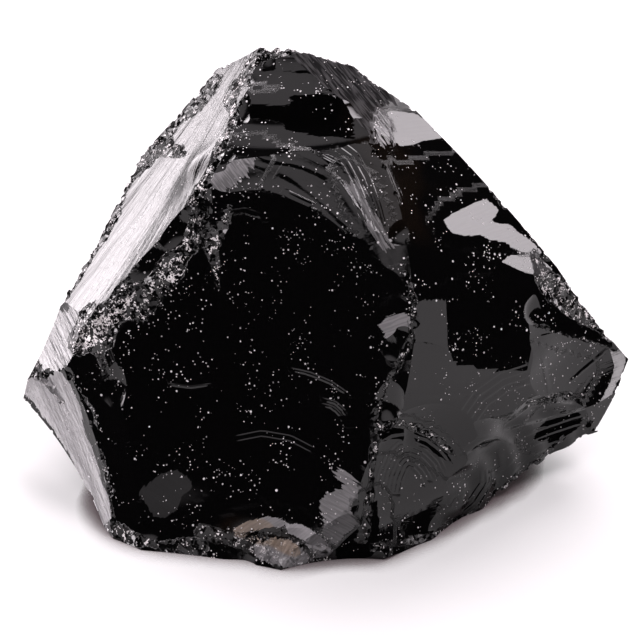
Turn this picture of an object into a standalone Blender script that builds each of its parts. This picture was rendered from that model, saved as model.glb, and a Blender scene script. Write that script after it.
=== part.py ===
"""A chunk of obsidian: one piece of volcanic glass, broken on every side by conchoidal fractures.

The chunk is a block of stock with its scars cut out of it. A scar is the smooth surface that one
broken-off flake left behind. Each one passes through three named corners and is hollow or bulging
between them, so that neighbours meet in sharp curved ridges. Ripples spread over some scars from
the point that was struck, some carry a low swelling, and small chips are missing from the ridges.
"""

import math

import bmesh
import bpy
import numpy as np
from mathutils import Matrix, Vector

MM = 0.001

# Driving sizes.
FACE_LEAN = math.radians(35)  # the front break leans back from the upright by this much
REST_DEPTH = 34.4 * MM  # from the origin of the break frame down to the face it rests on
CENTRE_SHIFT = (-1.25 * MM, -12.05 * MM)  # brings the middle of the box over the origin
STOCK_GROWTH = 1.07  # the stock is the hull of the corners, this much larger about its heart
HEART = (0.0, 10.0, 26.0)  # a point deep inside, in the row frame, in millimetres
SMOOTH_STEP = 3.0 * MM  # grid of a plain scar
SWELLING_STEP = 2.5 * MM  # grid of a scar with swellings
STEPS_PER_RIPPLE = 3.0  # grid of a rippled scar
TRAY_HEIGHT = 70.0 * MM  # how far the walls of a cutter rise

# Corners on the front, in millimetres in the break frame: across to the right, up the slope of
# the front break, and out of it.
FRONT_CORNERS = {
    "crest_left": (-9.7, 46.4, -8.4),
    "crest_middle": (-3.0, 46.6, -7.4),
    "crest_right": (4.5, 43.4, -9.7),
    "band_left": (-14.7, 28.3, -0.3),
    "band_right": (6.3, 28.5, 3.3),
    "front_top": (-16.3, 21.7, 1.6),
    "front_right": (14.5, 5.0, 9.8),
    "front_low": (8.7, -21.5, 5.0),
    "front_heel": (6.3, -37.5, 1.5),
    "front_foot": (-4.5, -41.9, 0.1),
    "foot_crease": (-28.3, -37.8, -3.8),
    "foot_left": (-36.3, -35.8, -9.5),
    "front_left": (-35.8, -5.0, -5.4),
    "ridge_low": (-40.0, 0.8, -8.3),
    "bulge_top": (6.3, 28.5, 4.5),
    "bulge_low": (8.7, -20.0, 6.3),
    "rim_high": (-21.0, 38.0, -18.0),
    "rim_bump": (-28.8, 29.8, -20.5),
    "rim_middle": (-35.3, 19.2, -18.8),
    "rim_low": (-46.8, 0.5, -13.8),
    "tip_top": (-50.6, -7.5, -20.0),
    "tip": (-51.8, -11.5, -22.5),
    "cheek": (-43.3, -8.7, -9.5),
    "cheek_low": (-41.3, -14.2, -10.5),
    "cheek_back": (-50.0, -14.5, -20.0),
    "side_high": (16.7, 34.5, -6.9),
    "side_middle": (30.8, 19.0, -5.3),
    "knob_top": (37.2, 7.5, -4.6),
    "knob_inner": (35.0, -1.7, -3.2),
    "knob_outer": (46.4, 2.6, -13.6),
    "knob_tip": (53.6, -5.6, -20.3),
    "shelf_inner": (22.5, -24.5, -5.5),
    "shelf_tip": (49.5, -14.5, -20.0),
    "shelf_side": (41.0, -22.5, -19.0),
    "foot_side": (28.3, -31.7, -14.7),
    "heel_left": (-5.5, -41.5, -0.8),
    "heel_right": (5.8, -39.8, -2.8),
    "heel_top": (-1.0, -35.0, 1.3),
    "knob_base": (35.5, -11.5, -6.2),
    "knob_middle": (46.0, -4.0, -14.9),
    "bulge_crown": (23.0, 15.0, 6.0),
}

# Corners at the back and underneath, in millimetres in the row frame: across to the right,
# towards the back, and up from the face it rests on.
BACK_CORNERS = {
    "back_top": (-2.0, 43.0, 46.0),
    "back_left": (-28.0, 42.0, 22.0),
    "back_middle": (-2.0, 49.0, 24.0),
    "back_right": (27.0, 38.0, 26.0),
    "base_left": (-33.0, 10.0, 0.0),
    "base_back_left": (-20.0, 37.0, 0.0),
    "base_back_right": (14.0, 38.0, 0.0),
    "base_right": (31.0, 16.0, 0.0),
}

# Scars: the three corners they pass through, then how they bend along the line from the first
# corner to the second and across it, as radii in millimetres (positive hollow, negative bulging),
# then how far the cut reaches from the middle of the three corners: against and with that line,
# and to either side of it.
SCARS = {
    "great_front": (("front_top", "front_foot", "front_right"), 250, 130, (80, 80, 80, 80)),
    "rippled_band": (("front_top", "front_right", "band_right"), -400, -50, (40, 40, 14, 40)),
    "top_hollow": (("band_left", "band_right", "crest_middle"), -90, 200, (45, 45, 45, 45)),
    "right_bulge": (("bulge_top", "bulge_low", "knob_inner"), -40, -150, (60, 24, 60, 60)),
    "left_channel": (("crest_left", "ridge_low", "rim_middle"), 400, 60, (42, 42, 36, 36)),
    "cheek_hollow": (("front_left", "foot_crease", "cheek"), 200, 120, (40, 40, 40, 40)),
    "left_strip": (("cheek_low", "foot_left", "cheek_back"), 80, 60, (40, 40, 40, 40)),
    "fluted_corner": (("ridge_low", "tip_top", "cheek"), 60, 60, (25, 25, 25, 25)),
    "knob_face": (("knob_inner", "knob_base", "knob_middle"), 60, 60, (30, 30, 30, 30)),
    "knob_crown": (("knob_top", "knob_inner", "knob_outer"), 90, 60, (30, 30, 30, 30)),
    "shelf_low": (("shelf_inner", "shelf_side", "foot_side"), 70, 45, (50, 50, 50, 50)),
    "arc_hollow": (("front_low", "front_heel", "shelf_inner"), 32, 40, (24, 24, 24, 24)),
    "heel_hollow": (("heel_left", "heel_right", "heel_top"), 30, 30, (16, 16, 16, 16)),
    "back_crown": (("crest_left", "crest_right", "back_top"), 200, 100, (80, 80, 80, 80)),
    "back_slope": (("crest_right", "side_high", "back_top"), 200, 100, (80, 80, 80, 80)),
    "back_side": (("side_high", "side_middle", "back_right"), 300, 200, (80, 80, 80, 80)),
    "back_shoulder": (("rim_high", "rim_bump", "back_top"), 200, 100, (80, 80, 80, 80)),
    "back_left_hollow": (("rim_middle", "rim_low", "back_left"), 200, 100, (60, 60, 60, 60)),
    "back_wall": (("base_back_left", "base_back_right", "back_middle"), 90, 90, (80, 80, 80, 80)),
    "under_left": (("tip", "base_left", "back_left"), 200, 120, (80, 80, 80, 80)),
    "under_front_left": (("tip", "foot_left", "base_left"), 200, 120, (80, 80, 80, 80)),
    "under_right": (("shelf_side", "foot_side", "base_right"), 200, 120, (80, 80, 80, 80)),
    "back_right_wall": (("back_right", "knob_tip", "base_back_right"), 200, 120, (80, 80, 80, 80)),
    "side_flank": (("knob_tip", "shelf_tip", "base_right"), 200, 120, (80, 80, 80, 80)),
}

# Ripples: the point struck, across and up in the break frame, then the distance from crest to
# crest and the height from trough to crest, all in millimetres.
RIPPLES = {
    "rippled_band": ((-8.0, 8.0), 5.2, 0.55),
    "top_hollow": ((-6.0, 70.0), 6.5, 0.45),
    "arc_hollow": ((15.8, -35.0), 4.0, 0.4),
    "shelf_low": ((30.0, -36.0), 5.6, 0.7),
    "back_slope": ((10.0, 40.0), 9.0, 0.6),
    "back_wall": ((0.0, 20.0), 10.0, 0.6),
}

# Swellings: the scar, the middle across and up in the break frame, half the length and half the
# width, how far the length is turned from across towards up, in degrees, and the height.
SWELLINGS = {
    "heel_bulb": ("great_front", (-8.5, -36.5), (8.5, 4.0), -8, 1.2),
    "foot_bulb": ("great_front", (-24.0, -33.0), (7.0, 4.5), 10, 0.4),
    "shelf_lens": ("shelf_low", (35.5, -16.0), (7.5, 2.6), 12, 1.6),
    "shelf_roll": ("shelf_low", (31.0, -24.5), (6.0, 3.0), 40, 1.0),
    "rim_lump": ("left_channel", (-27.5, 30.0), (4.5, 3.0), 50, 1.8),
    "knob_pad": ("knob_face", (44.0, -7.0), (6.0, 3.5), 10, 0.7),
    "crest_pad": ("top_hollow", (-6.0, 43.0), (7.0, 2.2), -5, 0.8),
}

# Chips missing from the ridges: middle across and up in the break frame, the radius that the chip
# is hollowed to and how deep it bites, in millimetres.
CHIPS = {
    "crest_notch": (-1.5, 45.0, 8.0, 0.9),
    "crest_nick": (-8.6, 43.6, 6.0, 0.7),
    "ridge_nick_high": (-12.7, 36.7, 7.0, 0.6),
    "ridge_flake_high": (-16.3, 27.5, 11.0, 0.7),
    "shoulder_flake": (-19.6, 21.3, 11.0, 0.7),
    "shoulder_pit": (-23.6, 16.0, 9.0, 0.8),
    "ridge_flake_low": (-28.5, 10.0, 12.0, 0.9),
    "ridge_nick_low": (-33.6, 5.0, 8.0, 0.7),
    "cheek_pit": (-35.7, -1.0, 8.0, 0.6),
    "cheek_flake": (-34.0, -12.0, 14.0, 0.5),
    "band_nick": (13.0, 14.5, 7.0, 0.5),
    "front_right_flake": (15.0, 2.5, 9.0, 0.5),
    "front_right_patch": (13.5, -4.5, 9.0, 0.5),
    "front_low_flake": (11.5, -14.0, 8.0, 0.5),
    "arc_nick": (15.5, -19.0, 7.0, 0.5),
    "slope_nick": (5.8, 34.3, 8.0, 0.6),
    "side_notch_high": (27.6, 21.9, 8.0, 0.7),
    "side_notch": (33.4, 18.4, 8.0, 0.8),
    "side_notch_low": (39.8, 9.6, 9.0, 0.9),
    "knob_nick": (36.6, 0.5, 9.0, 0.3),
    "knob_pit": (44.3, 1.5, 7.0, 0.7),
    "shelf_nick": (46.0, -17.0, 7.0, 0.7),
    "shelf_notch": (33.5, -27.6, 8.0, 0.9),
    "foot_notch": (19.5, -36.0, 8.0, 0.8),
    "foot_pit": (5.6, -31.0, 2.6, 0.8),
    "heel_shell": (-6.0, -37.5, 8.0, 0.8),
    "heel_shell_low": (-12.5, -38.5, 8.0, 0.7),
    "foot_shell": (-29.5, -35.0, 8.0, 0.6),
    "strip_nick": (-38.8, -22.0, 8.0, 0.6),
    "tip_nick": (-45.5, -8.0, 6.0, 0.6),
}
CHIP_DETAIL = 3
SLOPE_SPAN = 1.0  # how far to either side the front's slope is taken at a chip, in millimetres
STEEPEST = 1.5  # the steepest slope that a chip follows


def clear_scene():
    for obj in list(bpy.data.objects):
        bpy.data.objects.remove(obj, do_unlink=True)


def collection(name):
    made = bpy.data.collections.new(name)
    bpy.context.scene.collection.children.link(made)
    return made


def break_point(across, up, out):
    """A point of the break frame, given in millimetres, in the row frame."""
    sine, cosine = math.sin(FACE_LEAN), math.cos(FACE_LEAN)
    depth = up * sine - out * cosine
    height = up * cosine + out * sine
    shift = Vector((CENTRE_SHIFT[0], CENTRE_SHIFT[1], REST_DEPTH))
    return Vector((across, depth, height)) * MM + shift


def row_point(across, back, height):
    """A point given in millimetres from the rest face, in the row frame."""
    return Vector((across, back, height)) * MM + Vector((CENTRE_SHIFT[0], CENTRE_SHIFT[1], 0))


def corner_points():
    points = {name: break_point(*place) for name, place in FRONT_CORNERS.items()}
    points.update({name: row_point(*place) for name, place in BACK_CORNERS.items()})
    return points


class Scar:
    """One fracture surface, as heights over the plane of its three corners."""

    def __init__(self, name, points, heart):
        corners, bend_along, bend_across, reach = SCARS[name]
        first, second, third = [points[c] for c in corners]
        self.name = name
        self.middle = (first + second + third) / 3
        self.along = (second - first).normalized()
        self.out = self.along.cross(third - first).normalized()
        if self.out.dot(self.middle - heart) < 0:
            self.out.negate()
        self.across = self.out.cross(self.along)
        self.reach = [side * MM for side in reach]
        self.bends = (bend_along * MM, bend_across * MM)
        flat = [self.flatten(p)[:2] for p in (first, second, third)]
        rows = np.array([(1.0, a, b) for a, b in flat])
        sags = np.array([self.bowl(a, b) for a, b in flat])
        self.level, self.tilt_a, self.tilt_b = np.linalg.solve(rows, sags)
        self.struck = None
        if name in RIPPLES:
            self.struck = self.flatten(break_point(*RIPPLES[name][0], 0.0))[:2]
        self.swellings = [s[1:] for s in SWELLINGS.values() if s[0] == name]

    def flatten(self, point):
        """Distance along, distance across and height over the plane of the corners."""
        offset = point - self.middle
        return offset.dot(self.along), offset.dot(self.across), offset.dot(self.out)

    def bowl(self, a, b):
        return a * a / (2 * self.bends[0]) + b * b / (2 * self.bends[1])

    def ripple(self, a, b):
        if self.struck is None:
            return 0.0
        _, spacing, height = RIPPLES[self.name]
        radius = np.hypot(a - self.struck[0], b - self.struck[1]) / (spacing * MM)
        return height * MM / 2 * np.sin(math.tau * radius)

    def swell(self, a, b):
        total = 0.0
        for (across, up), (half_length, half_width), turn, height in self.swellings:
            centre = self.flatten(break_point(across, up, 0.0))
            tip = self.flatten(break_point(across + 1.0, up + math.tan(math.radians(turn)), 0.0))
            angle = math.atan2(tip[1] - centre[1], tip[0] - centre[0])
            x, y = a - centre[0], b - centre[1]
            long = (x * math.cos(angle) + y * math.sin(angle)) / (half_length * MM)
            wide = (y * math.cos(angle) - x * math.sin(angle)) / (half_width * MM)
            total = total + height * MM * np.exp(-(long**2) - wide**2)
        return total

    def heights(self, a, b):
        plane = self.level + self.tilt_a * a + self.tilt_b * b
        return self.bowl(a, b) - plane + self.ripple(a, b) + self.swell(a, b)

    def clears(self, point):
        """Whether the cut leaves this point standing."""
        a, b, height = self.flatten(point)
        back, ahead, right, left = self.reach
        if not (-back < a < ahead and -right < b < left):
            return True
        return height < self.heights(a, b)

    def step(self):
        if self.struck is not None:
            return min(SMOOTH_STEP, RIPPLES[self.name][1] * MM / STEPS_PER_RIPPLE)
        return SWELLING_STEP if self.swellings else SMOOTH_STEP


def add_cutter(name, bm, matrix, home):
    mesh = bpy.data.meshes.new(name)
    bm.to_mesh(mesh)
    bm.free()
    obj = bpy.data.objects.new(name, mesh)
    obj.matrix_world = matrix
    obj.hide_render = True
    obj.display_type = "WIRE"
    home.objects.link(obj)
    return obj


def tray(scar, home):
    """A cutter whose underside is the scar's surface and whose walls go up clear of the stock."""
    back, ahead, right, left = scar.reach
    size = (back + ahead, right + left)
    cells = [max(2, round(length / scar.step())) for length in size]
    bm = bmesh.new()
    bmesh.ops.create_grid(bm, x_segments=cells[0], y_segments=cells[1], size=0.5)
    bmesh.ops.scale(bm, vec=(size[0], size[1], 1), verts=bm.verts)
    bmesh.ops.translate(bm, vec=((ahead - back) / 2, (left - right) / 2, 0), verts=bm.verts)
    spots = np.array([v.co[:2] for v in bm.verts])
    heights = scar.heights(spots[:, 0], spots[:, 1])
    for vertex, height in zip(bm.verts, heights):
        vertex.co.z = height
    rim = [e for e in bm.edges if e.is_boundary]
    walls = bmesh.ops.extrude_edge_only(bm, edges=rim)["geom"]
    for item in walls:
        if isinstance(item, bmesh.types.BMVert):
            item.co.z = TRAY_HEIGHT
    bmesh.ops.contextual_create(bm, geom=[e for e in bm.edges if e.is_boundary])
    bmesh.ops.recalc_face_normals(bm, faces=bm.faces)
    turn = Matrix((scar.along, scar.across, scar.out)).transposed().to_4x4()
    return add_cutter(scar.name, bm, Matrix.Translation(scar.middle) @ turn, home)


def surface_depth(across, up, scars):
    """How far out of the break frame the chunk's front stands at a place, in millimetres."""
    low, high = -60.0, 40.0
    for _ in range(16):
        middle = (low + high) / 2
        point = break_point(across, up, middle)
        if all(scar.clears(point) for scar in scars):
            low = middle
        else:
            high = middle
    return low


def surface_slope(across, up, scars, turn_across, turn_up):
    """How steeply the front rises across or up the break frame, over the span of a chip."""
    step_across, step_up = SLOPE_SPAN * turn_across, SLOPE_SPAN * turn_up
    ahead = surface_depth(across + step_across, up + step_up, scars)
    behind = surface_depth(across - step_across, up - step_up, scars)
    return max(-STEEPEST, min(STEEPEST, (ahead - behind) / (2 * SLOPE_SPAN)))


def chip(name, scars, home):
    """A ball that bites squarely into the front at one place."""
    across, up, radius, bite = CHIPS[name]
    slope_across = surface_slope(across, up, scars, 1, 0)
    slope_up = surface_slope(across, up, scars, 0, 1)
    square = Vector((-slope_across, -slope_up, 1)).normalized() * (radius - bite)
    depth = surface_depth(across, up, scars)
    centre = break_point(across + square.x, up + square.y, depth + square.z)
    bm = bmesh.new()
    bmesh.ops.create_icosphere(bm, subdivisions=CHIP_DETAIL, radius=radius * MM)
    return add_cutter(name, bm, Matrix.Translation(centre), home)


def stock(points, heart, home):
    """The hull of all the corners, grown a little, for the scars to cut down to size."""
    bm = bmesh.new()
    for point in points.values():
        bm.verts.new(heart + (point - heart) * STOCK_GROWTH)
    hull = bmesh.ops.convex_hull(bm, input=bm.verts)
    loose = [v for v in hull["geom_interior"] if isinstance(v, bmesh.types.BMVert)]
    bmesh.ops.delete(bm, geom=loose, context="VERTS")
    bmesh.ops.recalc_face_normals(bm, faces=bm.faces)
    mesh = bpy.data.meshes.new("obsidian_chunk")
    bm.to_mesh(mesh)
    bm.free()
    obj = bpy.data.objects.new("obsidian_chunk", mesh)
    home.objects.link(obj)
    return obj


def rest_cutter(home):
    """A block whose top is the flat face that the chunk rests on."""
    bm = bmesh.new()
    bmesh.ops.create_cube(bm, size=2 * TRAY_HEIGHT)
    return add_cutter("rest_face", bm, Matrix.Translation((0, 0, -TRAY_HEIGHT)), home)


def cut(obj, cutter):
    modifier = obj.modifiers.new(cutter.name, "BOOLEAN")
    modifier.operation = "DIFFERENCE"
    modifier.object = cutter


def obsidian():
    material = bpy.data.materials.new("obsidian")
    material.use_nodes = True
    shader = material.node_tree.nodes["Principled BSDF"]
    shader.inputs["Base Color"].default_value = (0.008, 0.007, 0.008, 1)
    shader.inputs["Roughness"].default_value = 0.06
    shader.inputs["Metallic"].default_value = 0.0
    shader.inputs["IOR"].default_value = 1.49
    return material


def build():
    clear_scene()
    chunk_home = collection("obsidian_chunk")
    cutter_home = collection("cutters")
    points = corner_points()
    heart = row_point(*HEART)
    scars = [Scar(name, points, heart) for name in SCARS]
    chunk = stock(points, heart, chunk_home)
    for scar in scars:
        cut(chunk, tray(scar, cutter_home))
    for name in CHIPS:
        cut(chunk, chip(name, scars, cutter_home))
    cut(chunk, rest_cutter(cutter_home))
    chunk.data.materials.append(obsidian())


build()
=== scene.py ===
"""The obsidian chunk dressed: a finely knapped body, its black glass, and a plain studio stage.

The body is made as the solid was: a block of stock with its fracture scars cut out of it, one
after another. Here the scars carry fine ripples and hackles, shallow flakes are missing from the
smooth faces, and the ridges are chipped and crushed all along.
"""

import math

import bpy
import numpy as np
from bpy.props import FloatProperty, FloatVectorProperty, IntProperty, PointerProperty
from mathutils import Euler, Matrix, Vector, noise
from mathutils.kdtree import KDTree


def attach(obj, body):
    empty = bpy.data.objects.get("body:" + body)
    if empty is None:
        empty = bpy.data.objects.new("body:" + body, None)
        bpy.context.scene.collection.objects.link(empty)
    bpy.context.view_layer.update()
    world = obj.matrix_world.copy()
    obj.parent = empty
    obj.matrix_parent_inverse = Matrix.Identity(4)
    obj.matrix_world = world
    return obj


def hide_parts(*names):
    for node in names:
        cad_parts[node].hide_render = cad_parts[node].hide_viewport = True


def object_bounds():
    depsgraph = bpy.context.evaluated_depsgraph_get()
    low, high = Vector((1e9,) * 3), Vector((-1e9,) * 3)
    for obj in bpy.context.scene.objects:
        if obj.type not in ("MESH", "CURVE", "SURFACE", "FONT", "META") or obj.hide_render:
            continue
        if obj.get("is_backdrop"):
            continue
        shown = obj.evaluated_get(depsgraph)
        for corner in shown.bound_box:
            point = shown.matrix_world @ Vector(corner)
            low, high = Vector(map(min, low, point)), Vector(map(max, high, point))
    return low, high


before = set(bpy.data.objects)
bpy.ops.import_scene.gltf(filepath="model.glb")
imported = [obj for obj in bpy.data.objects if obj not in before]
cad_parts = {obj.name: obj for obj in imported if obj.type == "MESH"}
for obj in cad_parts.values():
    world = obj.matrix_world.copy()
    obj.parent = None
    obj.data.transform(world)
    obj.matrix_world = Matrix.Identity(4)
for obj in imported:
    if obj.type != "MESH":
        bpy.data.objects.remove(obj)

bl_info = {
    "name": "Obsidian chunk",
    "version": (1, 0, 0),
    "blender": (4, 5, 0),
    "location": "View3D > Sidebar > Obsidian",
    "description": "Knaps a rough chunk of obsidian and sets it on a studio floor",
    "category": "Add Mesh",
}

MM = 0.001
NODE = "obsidian_chunk"
PIECE = "knapped_chunk"

# The break frame lies in the great front break: across to the right, up its slope, and out of it.
# The row frame stands on the floor: across to the right, towards the back, and up.
FACE_LEAN = math.radians(35)  # the front break leans back from the upright by this much
REST_DEPTH = 34.4 * MM  # from the origin of the break frame down to the face it rests on
CENTRE_SHIFT = (-1.25 * MM, -12.05 * MM)  # of the break frame's origin from the row frame's

# The stock and its cutters.
STOCK_GROWTH = 1.07  # the stock is the hull of the corners, this much larger about its heart
HEART = (0.0, 10.0, 26.0)  # a point deep inside, in millimetres in the row frame
TRAY_HEIGHT = 70.0 * MM  # how far the walls of a cutter rise
SEARCH_STEP = 3.0 * MM  # how finely a scar is searched for what it has to cut
SEARCH_RISES = (0.01, 2, 4, 6, 9, 12, 16, 20, 25, 30)  # heights searched, in millimetres
SEARCH_MARGIN = 4.0 * MM
CHIP_NUMBER = 99  # stands for every chip where a face says which scar it belongs to
REST_NUMBER = 98  # stands for the rest face

# Corners on the front, in millimetres in the break frame: across to the right, up the slope of
# the front break, and out of it.
FRONT_CORNERS = {
    "crest_left": (-9.7, 46.4, -8.4),
    "crest_middle": (-3.0, 46.6, -7.4),
    "crest_right": (4.5, 43.4, -9.7),
    "band_left": (-14.7, 28.3, -0.3),
    "band_right": (6.3, 28.5, 3.3),
    "front_top": (-16.3, 21.7, 1.6),
    "front_right": (14.5, 5.0, 9.8),
    "front_low": (8.7, -21.5, 5.0),
    "front_heel": (6.3, -37.5, 1.5),
    "front_foot": (-4.5, -41.9, 0.1),
    "foot_crease": (-28.3, -37.8, -3.8),
    "foot_left": (-36.3, -35.8, -9.5),
    "front_left": (-35.8, -5.0, -5.4),
    "ridge_low": (-40.0, 0.8, -8.3),
    "bulge_top": (6.3, 28.5, 4.5),
    "bulge_low": (8.7, -20.0, 6.3),
    "rim_high": (-21.0, 38.0, -18.0),
    "rim_bump": (-28.8, 29.8, -20.5),
    "rim_middle": (-35.3, 19.2, -18.8),
    "rim_low": (-46.8, 0.5, -13.8),
    "tip_top": (-50.6, -7.5, -20.0),
    "tip": (-51.8, -11.5, -22.5),
    "cheek": (-43.3, -8.7, -9.5),
    "cheek_low": (-41.3, -14.2, -10.5),
    "cheek_back": (-50.0, -14.5, -20.0),
    "side_high": (16.7, 34.5, -6.9),
    "side_middle": (30.8, 19.0, -5.3),
    "knob_top": (37.2, 7.5, -4.6),
    "knob_inner": (35.0, -1.7, -3.2),
    "knob_outer": (46.4, 2.6, -13.6),
    "knob_tip": (53.6, -5.6, -20.3),
    "shelf_inner": (22.5, -24.5, -5.5),
    "shelf_tip": (49.5, -14.5, -20.0),
    "shelf_side": (41.0, -22.5, -19.0),
    "foot_side": (28.3, -31.7, -14.7),
    "heel_left": (-5.5, -41.5, -0.8),
    "heel_right": (5.8, -39.8, -2.8),
    "heel_top": (-1.0, -35.0, 1.3),
    "knob_base": (35.5, -11.5, -6.2),
    "knob_middle": (46.0, -4.0, -14.9),
    "bulge_crown": (23.0, 15.0, 6.0),
}

# Corners at the back and underneath, in millimetres in the row frame: across to the right,
# towards the back, and up from the face it rests on.
BACK_CORNERS = {
    "back_top": (-2.0, 43.0, 46.0),
    "back_left": (-28.0, 42.0, 22.0),
    "back_middle": (-2.0, 49.0, 24.0),
    "back_right": (27.0, 38.0, 26.0),
    "base_left": (-33.0, 10.0, 0.0),
    "base_back_left": (-20.0, 37.0, 0.0),
    "base_back_right": (14.0, 38.0, 0.0),
    "base_right": (31.0, 16.0, 0.0),
}

# Scars: the three corners they pass through, then how they bend along the line from the first
# corner to the second and across it, as radii in millimetres (positive hollow, negative bulging),
# then how far the cut reaches from the middle of the three corners: against and with that line,
# and to either side of it.
SCARS = {
    "great_front": (("front_top", "front_foot", "front_right"), 250, 130, (80, 80, 80, 80)),
    "rippled_band": (("front_top", "front_right", "band_right"), -400, -50, (40, 40, 14, 40)),
    "top_hollow": (("band_left", "band_right", "crest_middle"), -90, 200, (45, 45, 45, 45)),
    "right_bulge": (("bulge_top", "bulge_low", "knob_inner"), -40, -150, (60, 24, 60, 60)),
    "left_channel": (("crest_left", "ridge_low", "rim_middle"), 400, 60, (42, 42, 36, 36)),
    "cheek_hollow": (("front_left", "foot_crease", "cheek"), 200, 120, (40, 40, 40, 40)),
    "left_strip": (("cheek_low", "foot_left", "cheek_back"), 80, 60, (40, 40, 40, 40)),
    "fluted_corner": (("ridge_low", "tip_top", "cheek"), 60, 60, (25, 25, 25, 25)),
    "knob_face": (("knob_inner", "knob_base", "knob_middle"), 60, 60, (30, 30, 30, 30)),
    "knob_crown": (("knob_top", "knob_inner", "knob_outer"), 90, 60, (30, 30, 30, 30)),
    "shelf_low": (("shelf_inner", "shelf_side", "foot_side"), 70, 45, (50, 50, 50, 50)),
    "arc_hollow": (("front_low", "front_heel", "shelf_inner"), 32, 40, (24, 24, 24, 24)),
    "heel_hollow": (("heel_left", "heel_right", "heel_top"), 30, 30, (16, 16, 16, 16)),
    "back_crown": (("crest_left", "crest_right", "back_top"), 200, 100, (80, 80, 80, 80)),
    "back_slope": (("crest_right", "side_high", "back_top"), 200, 100, (80, 80, 80, 80)),
    "back_side": (("side_high", "side_middle", "back_right"), 300, 200, (80, 80, 80, 80)),
    "back_shoulder": (("rim_high", "rim_bump", "back_top"), 200, 100, (80, 80, 80, 80)),
    "back_left_hollow": (("rim_middle", "rim_low", "back_left"), 200, 100, (60, 60, 60, 60)),
    "back_wall": (("base_back_left", "base_back_right", "back_middle"), 90, 90, (80, 80, 80, 80)),
    "under_left": (("tip", "base_left", "back_left"), 200, 120, (80, 80, 80, 80)),
    "under_front_left": (("tip", "foot_left", "base_left"), 200, 120, (80, 80, 80, 80)),
    "under_right": (("shelf_side", "foot_side", "base_right"), 200, 120, (80, 80, 80, 80)),
    "back_right_wall": (("back_right", "knob_tip", "base_back_right"), 200, 120, (80, 80, 80, 80)),
    "side_flank": (("knob_tip", "shelf_tip", "base_right"), 200, 120, (80, 80, 80, 80)),
}
BACK_STARTS = ("back_", "under_", "side_")  # how the names of the scars begin that aren't in front
LEAST_CELLS = 4  # in a scar's grid, each way

# Ripples: the point struck, across and up in the break frame, then the distance from crest to
# crest and the height from trough to crest, all in millimetres.
RIPPLES = {
    "rippled_band": ((-8.0, 8.0), 5.2, 0.3),
    "top_hollow": ((-6.0, 70.0), 6.5, 0.45),
    "arc_hollow": ((15.8, -35.0), 4.0, 0.0),
    "shelf_low": ((30.0, -36.0), 5.6, 0.7),
    "back_slope": ((10.0, 40.0), 9.0, 0.6),
    "back_wall": ((0.0, 20.0), 10.0, 0.6),
}

# Swellings: the scar, the middle across and up in the break frame, half the length and half the
# width, how far the length is turned from across towards up, in degrees, and the height.
SWELLINGS = {
    "heel_bulb": ("great_front", (-8.5, -37.5), (7.5, 2.6), -8, 0.5),
    "foot_bulb": ("great_front", (-24.0, -33.0), (7.0, 4.5), 10, 0.4),
    "shelf_lens": ("shelf_low", (35.5, -16.0), (7.5, 2.6), 12, 1.6),
    "shelf_roll": ("shelf_low", (31.0, -24.5), (6.0, 3.0), 40, 1.0),
    "rim_lump": ("left_channel", (-27.5, 30.0), (4.5, 3.0), 50, 1.8),
    "knob_pad": ("knob_face", (44.0, -7.0), (6.0, 3.5), 10, 0.7),
    "crest_pad": ("top_hollow", (-6.0, 43.0), (7.0, 2.2), -5, 0.8),
}

# Chips missing from the ridges: middle across and up in the break frame, the radius that the chip
# is hollowed to and how deep it bites, in millimetres.
CHIPS = {
    "crest_notch": (-1.5, 45.0, 8.0, 0.9),
    "crest_nick": (-8.6, 43.6, 6.0, 0.3),
    "ridge_nick_high": (-12.7, 36.7, 7.0, 0.25),
    "ridge_flake_high": (-16.3, 27.5, 11.0, 0.7),
    "shoulder_flake": (-19.6, 21.3, 11.0, 0.7),
    "shoulder_pit": (-23.6, 16.0, 9.0, 0.8),
    "ridge_flake_low": (-28.5, 10.0, 12.0, 0.9),
    "ridge_nick_low": (-33.6, 5.0, 8.0, 0.7),
    "cheek_pit": (-35.7, -1.0, 8.0, 0.6),
    "cheek_flake": (-34.0, -12.0, 14.0, 0.5),
    "band_nick": (13.0, 14.5, 7.0, 0.5),
    "front_right_flake": (15.0, 2.5, 9.0, 0.5),
    "front_right_patch": (13.5, -4.5, 9.0, 0.5),
    "front_low_flake": (11.5, -14.0, 8.0, 0.5),
    "arc_nick": (15.5, -19.0, 7.0, 0.5),
    "slope_nick": (5.8, 34.3, 8.0, 0.6),
    "side_notch_high": (27.6, 21.9, 8.0, 0.7),
    "side_notch": (33.4, 18.4, 8.0, 0.8),
    "side_notch_low": (39.8, 9.6, 9.0, 0.9),
    "knob_nick": (36.6, 0.5, 9.0, 0.3),
    "knob_pit": (44.3, 1.5, 7.0, 0.7),
    "shelf_nick": (46.0, -17.0, 7.0, 0.7),
    "shelf_notch": (33.5, -27.6, 8.0, 0.9),
    "foot_notch": (19.5, -36.0, 8.0, 0.8),
    "foot_pit": (5.6, -31.0, 2.6, 0.8),
    "heel_shell": (-6.0, -37.5, 8.0, 0.8),
    "heel_shell_low": (-12.5, -38.5, 8.0, 0.7),
    "foot_shell": (-29.5, -35.0, 8.0, 0.6),
    "strip_nick": (-38.8, -22.0, 8.0, 0.6),
    "tip_nick": (-45.5, -8.0, 6.0, 0.6),
}
CHIP_DETAIL = 5  # how often the faces of a chip's ball are split
CHIP_ROUGHNESS = 0.12  # how uneven the ball is, as a share of its radius
BALL_WAVES = 0.6  # and over what distance, as a share of its radius
DEPTH_RANGE = (-60.0, 40.0)  # how far out the front is looked for at a chip, in millimetres
DEPTH_HALVINGS = 16  # how often that range is halved
SLOPE_SPAN = 1.0  # how far to either side the front's slope is taken at a chip, in millimetres
STEEPEST = 1.5  # the steepest slope that a chip follows
PLAIN_LEAN = (0.7, -0.4)  # how far the pattern in a chip shifts across and back as it rises

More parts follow.
